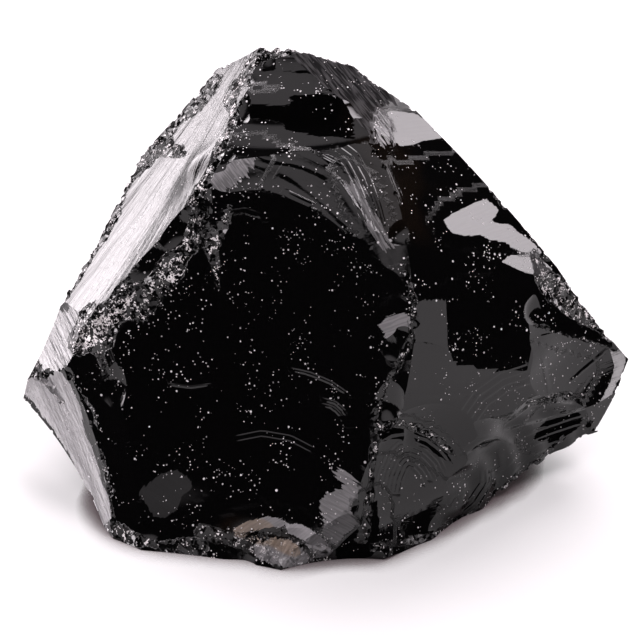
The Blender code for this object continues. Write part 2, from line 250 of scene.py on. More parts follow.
# Small chips along the ridges: their detail and roughness are told as those of the large chips.
SMALL_CHIP_DETAIL = 2
SMALL_CHIP_ROUGHNESS = 0.55
STRAY_CHIPS = 0.2  # how likely they are where nothing is crushed
CHIP_CLEARANCE = 1.0 * MM  # how far above the floor they stay
CHIP_GAP = 1.4  # chips of one batch are this many times their radii apart, or further
CHIP_SIZES = (0.5, 1.5)  # the least and the greatest radius, as shares of the usual one
CHIP_GROWTH = (0.75, 0.9)  # how large they are on whole glass, and how much larger on crushed glass
CHIP_STANDS = (0.25, 0.7)  # how far their middles stand out of the ridge, as shares of the radius
CHIP_WIDTHS = (0.6, 1.0)  # the width and the height of a chip's ball, as shares of its length
CHIP_HEIGHTS = (0.5, 0.9)
CHIP_PATTERNS = 50  # each one's unevenness is taken from somewhere in this many waves of noise

# Ridges: how far the faces beside them turn, in degrees.
RIDGE_BEND = 24  # enough for chips to break out
CREASE_BEND = 34  # enough for a crease inside a scar
PARTED_BEND = 5  # enough for a crease between two scars
RIDGE_REACH = 4.0  # how far from a ridge the distance to it is told, in millimetres
RIDGE_SHARES = (0.0, 0.33, 0.67, 1.0)  # where along each edge of a ridge it is measured to

# Where the blows fell on the scars that show no ripples, across and up in the break frame.
BLOWS = {
    "great_front": (-30.0, 40.0),
    "right_bulge": (6.0, 40.0),
    "cheek_hollow": (-45.0, 10.0),
    "left_strip": (-36.0, 2.0),
    "fluted_corner": (-60.0, 18.0),
    "knob_face": (34.0, 4.0),
    "knob_crown": (30.0, 12.0),
    "heel_hollow": (0.0, -48.0),
}
LEAST_THROW = 10.0 * MM  # a blow counts as at least this far from the middle of its scar
MAP_SHIFT = 37.0  # between the patterns of one scar and the next, in millimetres

# Crushed zones: how badly the glass is crushed, where 1 is throughout, then the middle line of the
# zone, across and up in the break frame, with half its width at every point, in millimetres.
CRUSHED = {
    "rim": (
        0.62,
        ((-18.0, 41.0, 1.8), (-21.0, 37.5, 1.8), (-25.0, 33.5, 1.4), (-29.0, 29.0, 2.0),
         (-32.5, 24.0, 1.0), (-37.0, 15.0, 1.1), (-41.5, 8.0, 1.0), (-46.0, 1.0, 1.2)),
    ),
    "rim_lump": (0.8, ((-28.5, 31.0, 2.4), (-24.8, 29.0, 2.0))),
    "upper_ridge": (
        0.9,
        ((-12.0, 43.5, 1.0), (-15.0, 37.0, 1.6), (-14.5, 33.5, 0.7), (-17.5, 27.0, 0.9),
         (-20.5, 20.0, 1.4)),
    ),
    "shoulder": (
        1.0,
        ((-19.5, 18.0, 1.6), (-22.0, 12.5, 2.6), (-26.0, 7.0, 3.0), (-31.0, 3.0, 3.4),
         (-36.0, 1.0, 3.0), (-39.5, -2.0, 2.2)),
    ),
    "shoulder_low": (1.4, ((-33.0, 2.0, 2.0), (-37.0, -1.0, 3.0), (-40.5, -4.0, 2.0))),
    "shoulder_step": (1.0, ((-15.0, 18.5, 0.5), (-18.0, 12.0, 1.2), (-17.0, 6.0, 0.4))),
    "cheek_edge": (0.7, ((-39.0, -1.0, 1.4), (-37.0, -6.0, 0.8), (-36.0, -10.0, 0.4))),
    "crest": (0.9, ((-11.5, 44.0, 1.2), (-7.5, 45.5, 1.0), (-2.0, 45.8, 0.8), (4.0, 43.6, 0.7))),
    "side_edge": (0.6, ((4.0, 43.6, 0.5), (16.0, 36.0, 0.4), (25.0, 28.0, 0.4), (31.0, 19.0, 0.6))),
    "knob_edge": (
        0.95,
        ((36.0, 11.0, 1.0), (37.5, 7.5, 2.0), (42.0, 3.5, 2.4), (46.5, 0.5, 1.6), (50.0, -3.0, 0.8)),
    ),
    "front_right": (
        0.75,
        ((13.3, 9.7, 0.3), (15.5, 3.3, 0.4), (15.0, -3.0, 0.6), (11.5, -9.5, 0.8), (9.0, -17.0, 0.8),
         (8.4, -29.0, 0.7), (7.0, -36.5, 1.1)),
    ),
    "arc_rim": (0.8, ((9.5, -17.5, 0.6), (13.5, -17.0, 0.8), (18.5, -19.0, 1.0), (22.5, -22.5, 0.6))),
    "knob_line": (
        0.8, ((36.2, -1.0, 0.3), (40.0, -2.0, 0.3), (44.5, -3.2, 0.35), (49.0, -4.6, 0.3))
    ),
    "shelf_rim": (0.7, ((35.0, -14.0, 0.5), (41.0, -13.0, 0.9), (47.0, -13.0, 0.5))),
    "heel": (0.9, ((-20.0, -35.0, 1.0), (-12.0, -37.5, 1.8), (-5.0, -38.5, 2.6), (1.0, -40.0, 1.6))),
    "foot": (0.75, ((-35.0, -35.5, 1.2), (-28.0, -37.5, 1.2), (-20.0, -38.5, 1.4))),
    "strip_edge": (0.6, ((-42.5, -9.0, 0.4), (-38.5, -15.0, 0.3), (-34.8, -33.0, 0.4))),
    "tip": (0.8, ((-50.0, -7.0, 1.0), (-47.0, -10.0, 1.0), (-44.0, -14.0, 0.6))),
    "lower_right": (
        0.75,
        ((9.0, -38.0, 0.7), (18.5, -36.5, 0.9), (27.0, -33.0, 0.8), (34.0, -27.0, 0.7),
         (42.0, -20.0, 0.6)),
    ),
}
ZONE_UNEVENNESS = 0.8  # how much the width of a zone comes and goes
ZONE_WAVELENGTH = 5.0 * MM  # and over what distance
ZONE_DEPTH = 24.0  # how far behind the front break the zones reach, in millimetres
ZONE_FADE = 8.0  # and over what distance they fade there

# Smoky places, where the black glass looks brown: written as the crushed zones are.
SMOKY = {
    "slope": (0.7, ((6.0, 34.0, 3.0), (12.0, 26.0, 6.0), (14.0, 16.0, 4.0))),
    "heel": (1.0, ((-15.0, -35.0, 2.0), (-9.0, -35.5, 3.0), (-4.0, -38.5, 1.5))),
}

# Ledges: fine steps where the crack jumped. The scar that they lie on, the distance from one step
# to the next in millimetres, how many there are and how high each one is in millimetres, then the
# line of the first one, across and up in the break frame. They face the left of that line and
# follow each other to its right.
LEDGES = {
    "band_arc": (
        "rippled_band", 3.0, 1, 0.26,
        ((1.6, 23.4), (-0.4, 24.6), (-2.5, 25.5), (-5.2, 26.2), (-8.8, 26.7), (-13.0, 27.1)),
    ),
    "band_arc_low": (
        "rippled_band", 3.0, 1, 0.28,
        ((0.2, 25.6), (1.9, 24.2), (3.4, 22.5), (4.9, 20.3), (5.9, 18.5), (7.7, 16.0),
         (10.0, 13.3)),
    ),
    "band_line": (
        "rippled_band", 3.2, 1, 0.22,
        ((7.4, 12.0), (5.4, 14.6), (3.0, 17.0), (0.7, 19.4), (-1.5, 21.2), (-4.0, 23.0),
         (-7.0, 24.8)),
    ),
    "band_top": (
        "rippled_band", 2.4, 1, 0.22,
        ((3.4, 24.8), (0.7, 27.2), (-1.5, 28.8), (-4.5, 29.8), (-7.8, 30.2)),
    ),
    "band_rim": (
        "rippled_band", 1.0, 4, 0.11,
        ((-1.2, 30.7), (3.0, 30.0), (6.0, 27.8), (8.2, 23.7), (10.0, 18.5), (10.9, 14.8)),
    ),
    "band_left": (
        "rippled_band", 1.6, 2, 0.16,
        ((-8.6, 24.9), (-10.6, 25.7), (-13.4, 26.6)),
    ),
    "band_low": (
        "rippled_band", 1.4, 1, 0.13,
        ((4.4, 12.6), (1.0, 15.6), (-3.0, 18.6), (-6.5, 21.2)),
    ),
    "front_arc": (
        "great_front", 1.0, 1, 0.10,
        ((-5.3, -8.0), (-1.7, -8.8), (1.7, -10.2), (5.2, -12.6)),
    ),
    "crest_rings": (
        "top_hollow", 1.3, 6, 0.09,
        ((2.0, 43.6), (-4.0, 44.6), (-9.0, 44.6)),
    ),
    "front_low_arc": (
        "great_front", 0.9, 2, 0.06,
        ((-14.6, -19.6), (-9.7, -18.6), (-4.8, -19.4), (-0.5, -21.6)),
    ),
    "front_crescent": (
        "great_front", 0.9, 2, 0.11,
        ((0.2, -13.0), (2.6, -13.6), (4.3, -15.2), (5.1, -17.6)),
    ),
    "cheek_crease": (
        "great_front", 0.9, 1, 0.16,
        ((-30.6, -30.5), (-32.4, -25.0), (-33.8, -18.3)),
    ),
    "shoulder_arc": (
        "great_front", 1.8, 1, 0.10,
        ((-19.5, 15.6), (-16.5, 17.8), (-12.5, 18.4), (-8.6, 17.0)),
    ),
    "shelf_lines": (
        "right_bulge", 1.1, 4, 0.06,
        ((36.0, -10.4), (31.5, -11.8), (28.0, -14.2), (25.2, -18.2)),
    ),
    "front_scratch": (
        "great_front", 0.6, 1, 0.16,
        ((-25.6, -10.7), (-21.7, -11.2), (-18.2, -10.7)),
    ),
    "arc_lines": (
        "arc_hollow", 0.72, 7, 0.085,
        ((8.9, -29.0), (9.6, -25.4), (11.0, -22.0), (13.0, -20.2), (15.4, -19.9), (18.0, -21.0),
         (20.2, -23.2), (21.6, -26.0)),
    ),
    "arc_gap": (
        "arc_hollow", 2.2, 1, 0.21,
        ((22.0, -24.0), (20.6, -21.8), (18.0, -19.8), (14.8, -18.6), (11.8, -18.9), (9.6, -20.2)),
    ),
    "lens_top": (
        "shelf_low", 2.6, 1, 0.26,
        ((44.2, -14.2), (40.0, -13.3), (35.0, -14.2), (30.8, -17.5)),
    ),
    "lens_under": (
        "shelf_low", 2.2, 1, 0.24,
        ((46.5, -14.4), (42.5, -15.6), (36.7, -17.0), (30.8, -18.4)),
    ),
    "facet_top": (
        "shelf_low", 1.6, 1, 0.17,
        ((33.3, -21.2), (30.0, -20.0), (26.7, -20.8), (24.0, -22.8)),
    ),
    "facet_side": (
        "shelf_low", 1.8, 1, 0.19,
        ((28.6, -29.0), (30.8, -25.0), (30.2, -21.7)),
    ),
    "shelf_line": (
        "shelf_low", 1.3, 2, 0.05,
        ((46.0, -17.4), (42.5, -18.3), (37.5, -20.0), (33.3, -22.0)),
    ),
    "shelf_low_line": (
        "shelf_low", 1.5, 2, 0.06,
        ((40.0, -21.4), (35.4, -23.6), (32.0, -27.0)),
    ),
    "shelf_corner": (
        "shelf_low", 1.0, 3, 0.16,
        ((23.0, -32.4), (25.4, -30.6), (27.4, -27.6), (27.2, -25.4)),
    ),
    "knob_arc": (
        "knob_face", 0.9, 1, 0.06,
        ((49.6, -4.8), (47.5, -6.7), (45.0, -8.7), (42.2, -11.0)),
    ),
    "knob_crease": (
        "knob_face", 1.2, 1, 0.07,
        ((38.8, -12.4), (38.0, -9.2), (37.4, -6.0)),
    ),
    "knob_fold": (
        "knob_face", 1.6, 1, 0.05,
        ((36.4, -3.0), (40.0, -2.2), (44.0, -3.6), (46.5, -5.2)),
    ),
}
LEDGE_LAYERS = 4  # ledges next to each other in the table go to different layers
LEDGE_RISE = 0.3  # the share of the distance between ledges over which each one rises
LEDGE_FADE = 1.5  # how far from its ends a ledge starts to fade, in millimetres
LEDGE_MARGIN = 1.2  # how far beside its steps it fades away, in millimetres
LEDGE_WOBBLE = 0.12  # how much it strays from its line, as a share of the distance between ledges

# How strongly streaks away from the blow, and rings round it, show on a scar.
PLAIN_GRAIN = (0.5, 1.0)
GRAIN = {
    "great_front": (0.1, 0.2),
    "rippled_band": (0.8, 0.8),
    "top_hollow": (0.2, 1.6),
    "right_bulge": (0.15, 0.3),
    "left_channel": (5.0, 0.5),
    "fluted_corner": (6.0, 0.3),
    "left_strip": (3.0, 0.6),
    "knob_face": (0.6, 1.2),
    "shelf_low": (0.8, 1.6),
    "arc_hollow": (0.2, 2.0),
    "heel_hollow": (0.3, 1.2),
}

# Flakes too thin to cut: the scars that they lie on, the azimuth and elevation that they face, how
# evenly they face that way (0 to 1), how frosted they are (0 to 1; the grey frost is partly a painted
# sheen, standing in for bright grazing reflections as on the left strip and the fluted corner), how
# ragged their outline is in millimetres and the way its teeth point, in degrees from across towards
# up, then the outline, across and up in the break frame.
FLAKES = {
    "upper_flake": (
        ("right_bulge",), (35, 60), 0.9, 0.15, 0.3, 10,
        ((11.1, 35.2), (16.0, 34.8), (17.6, 33.9), (19.5, 32.6), (21.6, 30.7), (20.1, 30.4),
         (17.6, 30.1), (15.4, 29.2), (13.0, 28.8), (12.2, 30.0), (12.0, 31.7), (11.4, 33.4)),
    ),
    "upper_flake_tip": (
        ("right_bulge",), (35, 60), 0.9, 0.15, 0.3, 10,
        ((8.4, 38.4), (10.1, 37.9), (11.4, 36.6), (10.7, 35.5), (9.4, 36.4)),
    ),
    "side_flake": (
        ("right_bulge",), (35, 60), 0.9, 0.15, 0.4, 20,
        ((20.4, 16.4), (21.9, 17.8), (25.0, 19.3), (27.9, 20.4), (29.7, 18.8), (30.1, 18.1),
         (28.4, 16.4), (32.2, 15.9), (33.6, 14.6), (35.3, 13.5), (37.1, 11.8), (38.1, 10.8),
         (35.2, 11.1), (32.6, 11.7), (30.9, 13.0), (28.3, 13.3), (26.6, 14.1), (23.5, 13.9),
         (21.5, 14.6)),
    ),
    "side_flake_low": (
        ("right_bulge",), (35, 60), 0.9, 0.15, 0.4, 160,
        ((29.8, 9.8), (32.1, 11.0), (35.3, 10.7), (37.0, 10.3), (38.8, 9.1), (40.0, 6.6),
         (38.8, 6.6), (36.1, 7.4), (33.5, 8.2), (30.9, 9.3)),
    ),
    "tongue": (
        ("right_bulge",), (35, 14), 0.72, 0.0, 0.8, 80,
        ((14.4, 3.0), (20.9, 3.6), (21.1, -4.0), (21.6, -6.6), (23.0, -7.8), (26.0, -8.2),
         (30.9, -9.0), (26.7, -10.3), (16.5, -10.5), (10.5, -5.3), (11.8, -1.6), (13.5, 0.3)),
    ),
    "window": (
        ("right_bulge",), (35, 26), 0.6, 0.0, 0.2, 80,
        ((20.9, 3.6), (21.1, -4.0), (21.6, -6.6), (23.0, -7.8), (26.0, -8.2), (30.9, -8.4),
         (34.9, -8.6), (35.8, -3.4), (35.2, 0.0), (37.0, 3.4), (30.0, 5.3), (24.8, 5.0)),
    ),
    "foot_flake": (
        ("great_front",), (-19, 41), 0.9, 0.0, 0.6, 60,
        ((-30.3, -28.6), (-28.6, -27.2), (-26.0, -25.5), (-23.8, -25.2), (-21.8, -26.5),
         (-21.5, -28.2), (-23.1, -29.4), (-24.1, -31.9), (-26.0, -33.2), (-28.2, -33.1),
         (-29.1, -31.1), (-30.3, -29.9)),
    ),
    "toe_flake": (
        ("great_front", "heel_hollow", "chip"), (-20, 46), 0.9, 0.45, 1.0, 150,
        ((1.5, -24.4), (4.1, -25.2), (6.0, -26.5), (7.6, -27.9), (8.0, -29.3), (5.8, -29.7),
         (5.0, -30.9), (5.3, -32.4), (6.5, -33.6), (4.2, -35.9), (2.7, -37.9), (1.7, -37.0),
         (0.3, -35.8), (0.8, -33.3), (-0.3, -30.8), (0.0, -29.6), (2.5, -28.2), (4.1, -27.5),
         (3.0, -26.2)),
    ),
    "toe_dark": (
        ("great_front", "heel_hollow", "arc_hollow", "chip"), (5, 28), 1.0, 0.0, 0.4, 20,
        ((-1.3, -39.5), (2.6, -38.3), (4.4, -36.3), (7.0, -33.6), (7.4, -31.0), (9.5, -30.0),
         (10.0, -36.0), (9.0, -39.5), (3.3, -41.5), (-0.8, -41.5)),
    ),
    "heel_brown": (
        ("great_front", "heel_hollow", "chip"), (-50, 50), 0.5, 0.5, 0.9, 30,
        ((-14.6, -35.0), (-12.0, -33.4), (-9.0, -32.8), (-6.0, -33.4), (-5.6, -34.8),
         (-8.3, -34.6), (-11.7, -35.4), (-13.7, -37.0)),
    ),
    "heel_shell": (
        ("great_front", "heel_hollow", "chip"), (-50, 50), 0.5, 0.7, 0.8, 60,
        ((-11.0, -37.5), (-8.0, -36.4), (-5.2, -36.6), (-3.0, -38.0), (-1.5, -40.2), (-4.0, -41.5),
         (-8.0, -40.8), (-11.0, -39.6)),
    ),
    "middle_flake": (
        ("great_front",), (-20, 46), 0.9, 0.6, 1.0, 200,
        ((9.6, -1.0), (10.7, 0.3), (12.8, 1.3), (14.8, 1.0), (14.9, -0.8), (14.3, -3.3),
         (13.2, -5.3), (11.9, -3.3), (10.4, -2.5)),
    ),
    "toe_arc": (
        ("great_front", "heel_hollow", "chip"), (-50, 45), 0.9, 0.8, 0.5, 40,
        ((-6.0, -34.0), (-3.3, -33.9), (-0.8, -35.3), (1.7, -37.9), (2.3, -39.0), (0.3, -39.8),
         (-1.7, -38.4), (-3.3, -36.5), (-5.4, -35.6)),
    ),
    # Painted sheen: the grey frost on the left strip, and on the fluted corner below, stands in for a
    # bright grazing reflection.
    "strip_frost_and_sheen": (
        ("left_strip",), (-56, 33), 0.75, 0.6, 1.0, -68,
        ((-51.0, -6.0), (-44.2, -8.0), (-40.5, -14.4), (-39.9, -18.7), (-37.1, -26.3),
         (-33.4, -37.0), (-36.3, -36.5), (-38.7, -31.0), (-42.4, -24.0), (-46.9, -17.3),
         (-51.5, -12.0)),
    ),
    "corner_frost_and_sheen": (
        ("fluted_corner",), (-78, 44), 0.55, 0.35, 3.0, -60,
        ((-50.5, -7.5), (-46.0, 1.0), (-40.6, 2.7), (-40.2, -4.2), (-44.2, -10.2)),
    ),
    "crest_shade": (
        ("right_bulge",), (60, 52), 0.9, 0.2, 3.0, -52,
        ((-8.0, 47.0), (3.0, 47.0), (14.0, 39.5), (12.5, 36.3), (10.8, 35.6), (8.6, 32.0),
         (8.6, 29.5), (4.0, 29.5), (1.0, 36.0), (-4.0, 42.0), (-8.0, 44.0)),
    ),
    "crest_black": (
        ("top_hollow",), (5, 33), 1.0, 0.0, 1.1, 2,
        ((-13.8, 36.0), (-9.7, 36.2), (-5.0, 36.0), (-4.8, 37.9), (-3.3, 37.7), (0.0, 38.0),
         (4.2, 37.6), (5.4, 35.0), (5.8, 30.0), (2.5, 30.3), (-3.3, 31.0), (-5.8, 31.7),
         (-6.2, 33.0), (-9.7, 33.5), (-14.2, 33.6)),
    ),
    "crest_stripe": (
        ("top_hollow",), (5, 33), 1.0, 0.0, 0.8, 2,
        ((-10.0, 42.6), (-4.0, 42.2), (2.0, 41.2), (4.6, 40.6), (2.0, 40.8), (-4.0, 41.6),
         (-10.0, 42.0)),
    ),
    "fan_left": (
        ("rippled_band",), (-50, 50), 0.4, 0.6, 1.8, -52,
        ((-20.5, 24.6), (-16.4, 33.0), (-12.4, 30.6), (-10.2, 27.3), (-12.3, 23.6),
         (-15.3, 21.4), (-19.0, 19.3)),
    ),
    "fan_right": (
        ("rippled_band",), (0, 62), 0.3, 0.4, 2.2, -62,
        ((4.3, 24.5), (6.7, 22.6), (8.9, 18.5), (10.8, 14.0), (12.4, 11.6), (10.6, 11.2),
         (8.4, 14.0), (6.6, 18.0), (4.9, 21.5)),
    ),
    "knob_dark": (
        ("knob_face", "knob_crown"), (35, 28), 1.0, 0.0, 0.7, -80,
        ((33.0, 9.0), (45.0, 9.0), (50.5, -4.7), (45.0, -3.6), (36.0, -1.2), (33.5, 2.0)),
    ),
    "arc_dark": (
        ("arc_hollow",), (5, 30), 0.85, 0.0, 0.3, 10,
        ((8.8, -18.6), (11.5, -17.6), (14.6, -18.2), (18.0, -19.6), (21.6, -22.6), (22.6, -24.6),
         (19.8, -22.8), (16.6, -20.9), (13.0, -19.8), (10.2, -19.8)),
    ),
    "shelf_dark": (
        ("shelf_low",), (35, 28), 0.85, 0.0, 0.8, 20,
        ((38.8, -16.6), (41.7, -15.4), (44.8, -16.2), (45.2, -18.0), (43.3, -19.5), (39.5, -21.2),
         (36.2, -20.2), (37.5, -18.2)),
    ),
    "tip_light": (
        ("knob_face", "shelf_low", "side_flank", "under_right"), (38, 60), 0.9, 0.0, 0.4, -70,
        ((49.6, -4.9), (53.0, -5.3), (52.2, -9.2), (49.4, -14.2), (46.6, -18.0), (48.2, -13.6),
         (49.9, -10.6), (50.6, -8.0)),
    ),
    "fan_upper": (
        ("right_bulge",), (35, 60), 0.6, 0.7, 3.0, -55,
        ((5.9, 39.5), (7.6, 37.2), (10.1, 35.5), (12.1, 33.5), (12.3, 29.6), (10.6, 28.9),
         (8.7, 32.0), (7.0, 35.4)),
    ),
}
FLAKE_MARGIN = 2.5  # how far round a flake its facing is kept, in millimetres
FAR_OUTSIDE = -9.0  # the depth inside a flake where there is none near, in millimetres

# Unevenness of the scars: its height and its wavelength, in millimetres.
PLAIN_WAVES = (0.12, 9.0)
WAVES = {
    "great_front": (0.05, 14.0),
    "rippled_band": (0.10, 7.0),
    "top_hollow": (0.08, 9.0),
    "right_bulge": (0.06, 12.0),
}

# Patterns in the glass: the distance from one wave to the next in millimetres, how often finer
# waves are added, and how strong those are where it isn't by half.
BROAD = (9.0, 3.0)
FINE = (1.6, 4.0, 0.6)
BROKEN = (1.3, 2.0, 0.6)  # where crushed glass is powdery
POWDER = (0.42, 1.0)  # its grains
THREADS = (0.9, 1.5)  # its threads
DRIFTS = (5.0, 3.0, 0.6)  # where dust lies
SMUDGES = (6.0, 5.0, 0.7)  # where the polish is dull

# Patterns that follow a fracture: how they are drawn out away from the blow and round it, where a
# small figure draws them out far, then the same figures as above.
STREAKS = ((0.12, 1.0, 1.0), (0.8, 4.0, 0.6))
BROAD_STREAKS = ((0.06, 1.0, 1.0), (3.4, 1.0))
HACKLES = ((0.10, 1.0, 1.0), (0.36, 2.0))
RINGS = ((1.0, 0.07, 1.0), (1.5, 4.0, 0.6))

EVEN = 0.5  # what every pattern comes to on the whole

# Thin flakes.
TOOTH_HACKLES = 0.8  # how much hackles tell in the teeth of an outline, beside streaks
TOOTH_MIDDLE = 0.9  # what streaks and hackles come to together, on the whole
TOOTH_LENGTH = 1.6  # the length of the teeth, as a share of how ragged the outline is
SOFT_EDGE = (0.0, 0.08)  # over how many millimetres a flake or a fresh edge with its painted highlight sets in
COMB = (0.4, 0.62)  # frost is thinner where hackles are below the first, and whole above the second
COMB_DEPTH = 0.27  # and by this share of it, where the outline is ragged by a millimetre

# Crushed glass and its powder, partly painted sparkle, and the painted highlights along the ridges.
EDGE_FADE = (0.1, 0.9)  # over how many millimetres from a ridge its crushing fades
EDGE_CRUSH = 0.2  # a ridge counts as this much more crushed than its zone
EDGE_SHARE = 0.3  # and adds this share of that to the zone
CRUSH_FINE = 0.9  # how much the fine pattern tells in where glass is crushed
CRUSH_BROAD = 1.1  # and the broad one
CRUSHED_FROM = (0.48, 0.56)  # glass is whole below the first and crushed above the second
POWDER_BROKEN = 0.7  # how strongly grains keep to the powdery places
POWDER_CRUSH = 0.25  # and grains and threads to the worst of the crushed zones
POWDER_FROM = (0.64, 0.69)  # grains lie where their pattern is above these
THREAD_HALF = (0.02, 0.05)  # half the width of a thread, on the scale of its pattern
THREADS_FROM = (0.5, 0.58)  # threads lie where a place is this powdery
FRESH_EDGE_HIGHLIGHT_REACH = 0.16  # how far from a ridge its fresh edge is powdery and carries a painted highlight, in millimetres
FRESH_EDGE_HIGHLIGHT_FINE = 0.6  # and how much the fine pattern adds to that

# Specks of dust: the distance from one to the next in millimetres, how large the largest are as a
# share of that, and the share of the speck places that are filled where dust lies evenly.
USUAL_SPECKS = (0.9, 0.24, 0.22)
LARGE_SPECKS = (2.1, 0.13, 0.32)
SMALL_SPECKS = (0.45, 0.34, 0.08)
SPECK_DRIFTING = 5.0  # how strongly specks keep to the drifts
SPECK_BLUR = 0.02  # over what share of the places they get fainter
SPECK_EDGE = (0.0, 0.03)  # over what share of the distance between them their edges soften
DULLEST_SPECK = 0.2  # how strongly the dullest one shows

# The colour and the polish of the glass.
SMOKE_CLOUDS = (0.3, 0.6)  # smoke sets in where the broad pattern is between these
TAN_FROM = (0.7, 0.95)  # how smoky glass has to be for its powder to be tan
TAN_FINE = 0.4  # how much the fine pattern takes off the tan
SMUDGED_FROM = (0.45, 0.75)  # smudges set in where their pattern is between these
GLASS_IOR = 1.49
GLASS_SPECULAR = 0.38

# What each of them adds to the roughness of a clean scar.
SMUDGE_ROUGHNESS = 0.05
POWDER_ROUGHNESS = 0.35
FROST_ROUGHNESS = 0.15
DUST_ROUGHNESS = 0.4

# Relief finer than the mesh, in millimetres.
STREAK_HEIGHT = 0.024
BROAD_STREAK_HEIGHT = 0.07
RING_HEIGHT = 0.03
EDGE_HEIGHT = 0.04
EDGE_RELIEF = (0.0, 1.6)  # over what distance from a ridge its relief fades
FROST_HEIGHT = 0.05
DUST_HEIGHT = 0.04
FACET_SIZES = (2.1, 0.7)  # of the facets of crushed glass
FACET_LEANS = (1.1, 0.7)  # and how steeply they lean
DUST_FACING = (-20, 75)  # the azimuth and elevation that the specks of dust face
DUST_TURN = 0.8  # and how fully they face that way

# The soft lights: the azimuth and elevation where each one stands, how many degrees wide it is and
# over how many degrees its edge fades.
LIGHTS = {
    "overhead": (-60, 68, 64, 10),
    "back_left": (-133, 12, 42, 6),
    "left": (-98, 10, 26, 5),
    "back_right": (168, 42, 36, 8),
    "right": (105, 60, 24, 4),
    "low_right": (118, 6, 24, 6),
}
FALL_OFF = 0.35  # how much darker a light is at its edge than in its middle
DARKNESS = 0.01  # of the studio round the lights
LIGHT_TINT = (1.0, 0.93, 0.97)
WHITE = (1, 1, 1, 1)

# The floor and the camera.
FLOOR_SIZE = 6.0  # metres across
SHADE_SAMPLES = 4  # rays that look for the stone from each spot of the floor, for the shadow painted there
FLOOR_ROUGHNESS = 0.9
FLOOR_GAP = 0.05 * MM  # from the rest face down to the floor
FLOOR_CLEAR = (0.66, 0.97)  # shares of open sky where the shadow painted on the floor is darkest and where the floor is at its palest
VIEW_WIDTH = 106.667 * MM  # what the camera takes in across the middle of the chunk
SENSOR = 36.0  # the width of the camera's sensor, in millimetres


def break_point(across, up, out):
    """A point of the break frame, given in millimetres, in the row frame."""
    sine, cosine = math.sin(FACE_LEAN), math.cos(FACE_LEAN)
    depth = up * sine - out * cosine
    height = up * cosine + out * sine
    shift = Vector((CENTRE_SHIFT[0], CENTRE_SHIFT[1], REST_DEPTH))
    return Vector((across, depth, height)) * MM + shift


def break_places(places):
    """Across, up and out in the break frame, in millimetres, of many places in the row frame."""
    offset = (places - np.array((CENTRE_SHIFT[0], CENTRE_SHIFT[1], REST_DEPTH))) / MM
    sine, cosine = math.sin(FACE_LEAN), math.cos(FACE_LEAN)
    up = offset[:, 1] * sine + offset[:, 2] * cosine
    out = offset[:, 2] * sine - offset[:, 1] * cosine
    return np.column_stack((offset[:, 0], up, out))


def row_point(across, back, height):
    """A point given in millimetres from the rest face, in the row frame."""
    return Vector((across, back, height)) * MM + Vector((CENTRE_SHIFT[0], CENTRE_SHIFT[1], 0))


def corner_points():
    points = {name: break_point(*place) for name, place in FRONT_CORNERS.items()}
    points.update({name: row_point(*place) for name, place in BACK_CORNERS.items()})
    return points


def direction(azimuth, elevation):
    """A direction from the chunk: azimuth 0 is towards the viewer and 90 to the right."""
    azimuth, elevation = math.radians(azimuth), math.radians(elevation)
    flat = math.cos(elevation)
    return Vector((flat * math.sin(azimuth), -flat * math.cos(azimuth), math.sin(elevation)))


def noise_at(places, wavelength, seed=0.0):
    """Smooth noise between -1 and 1 at many places, varying over the wavelength."""
    shift = Vector((seed, 1.7 * seed, -0.6 * seed))
    return np.array([noise.noise(Vector(p) / wavelength + shift) for p in places])


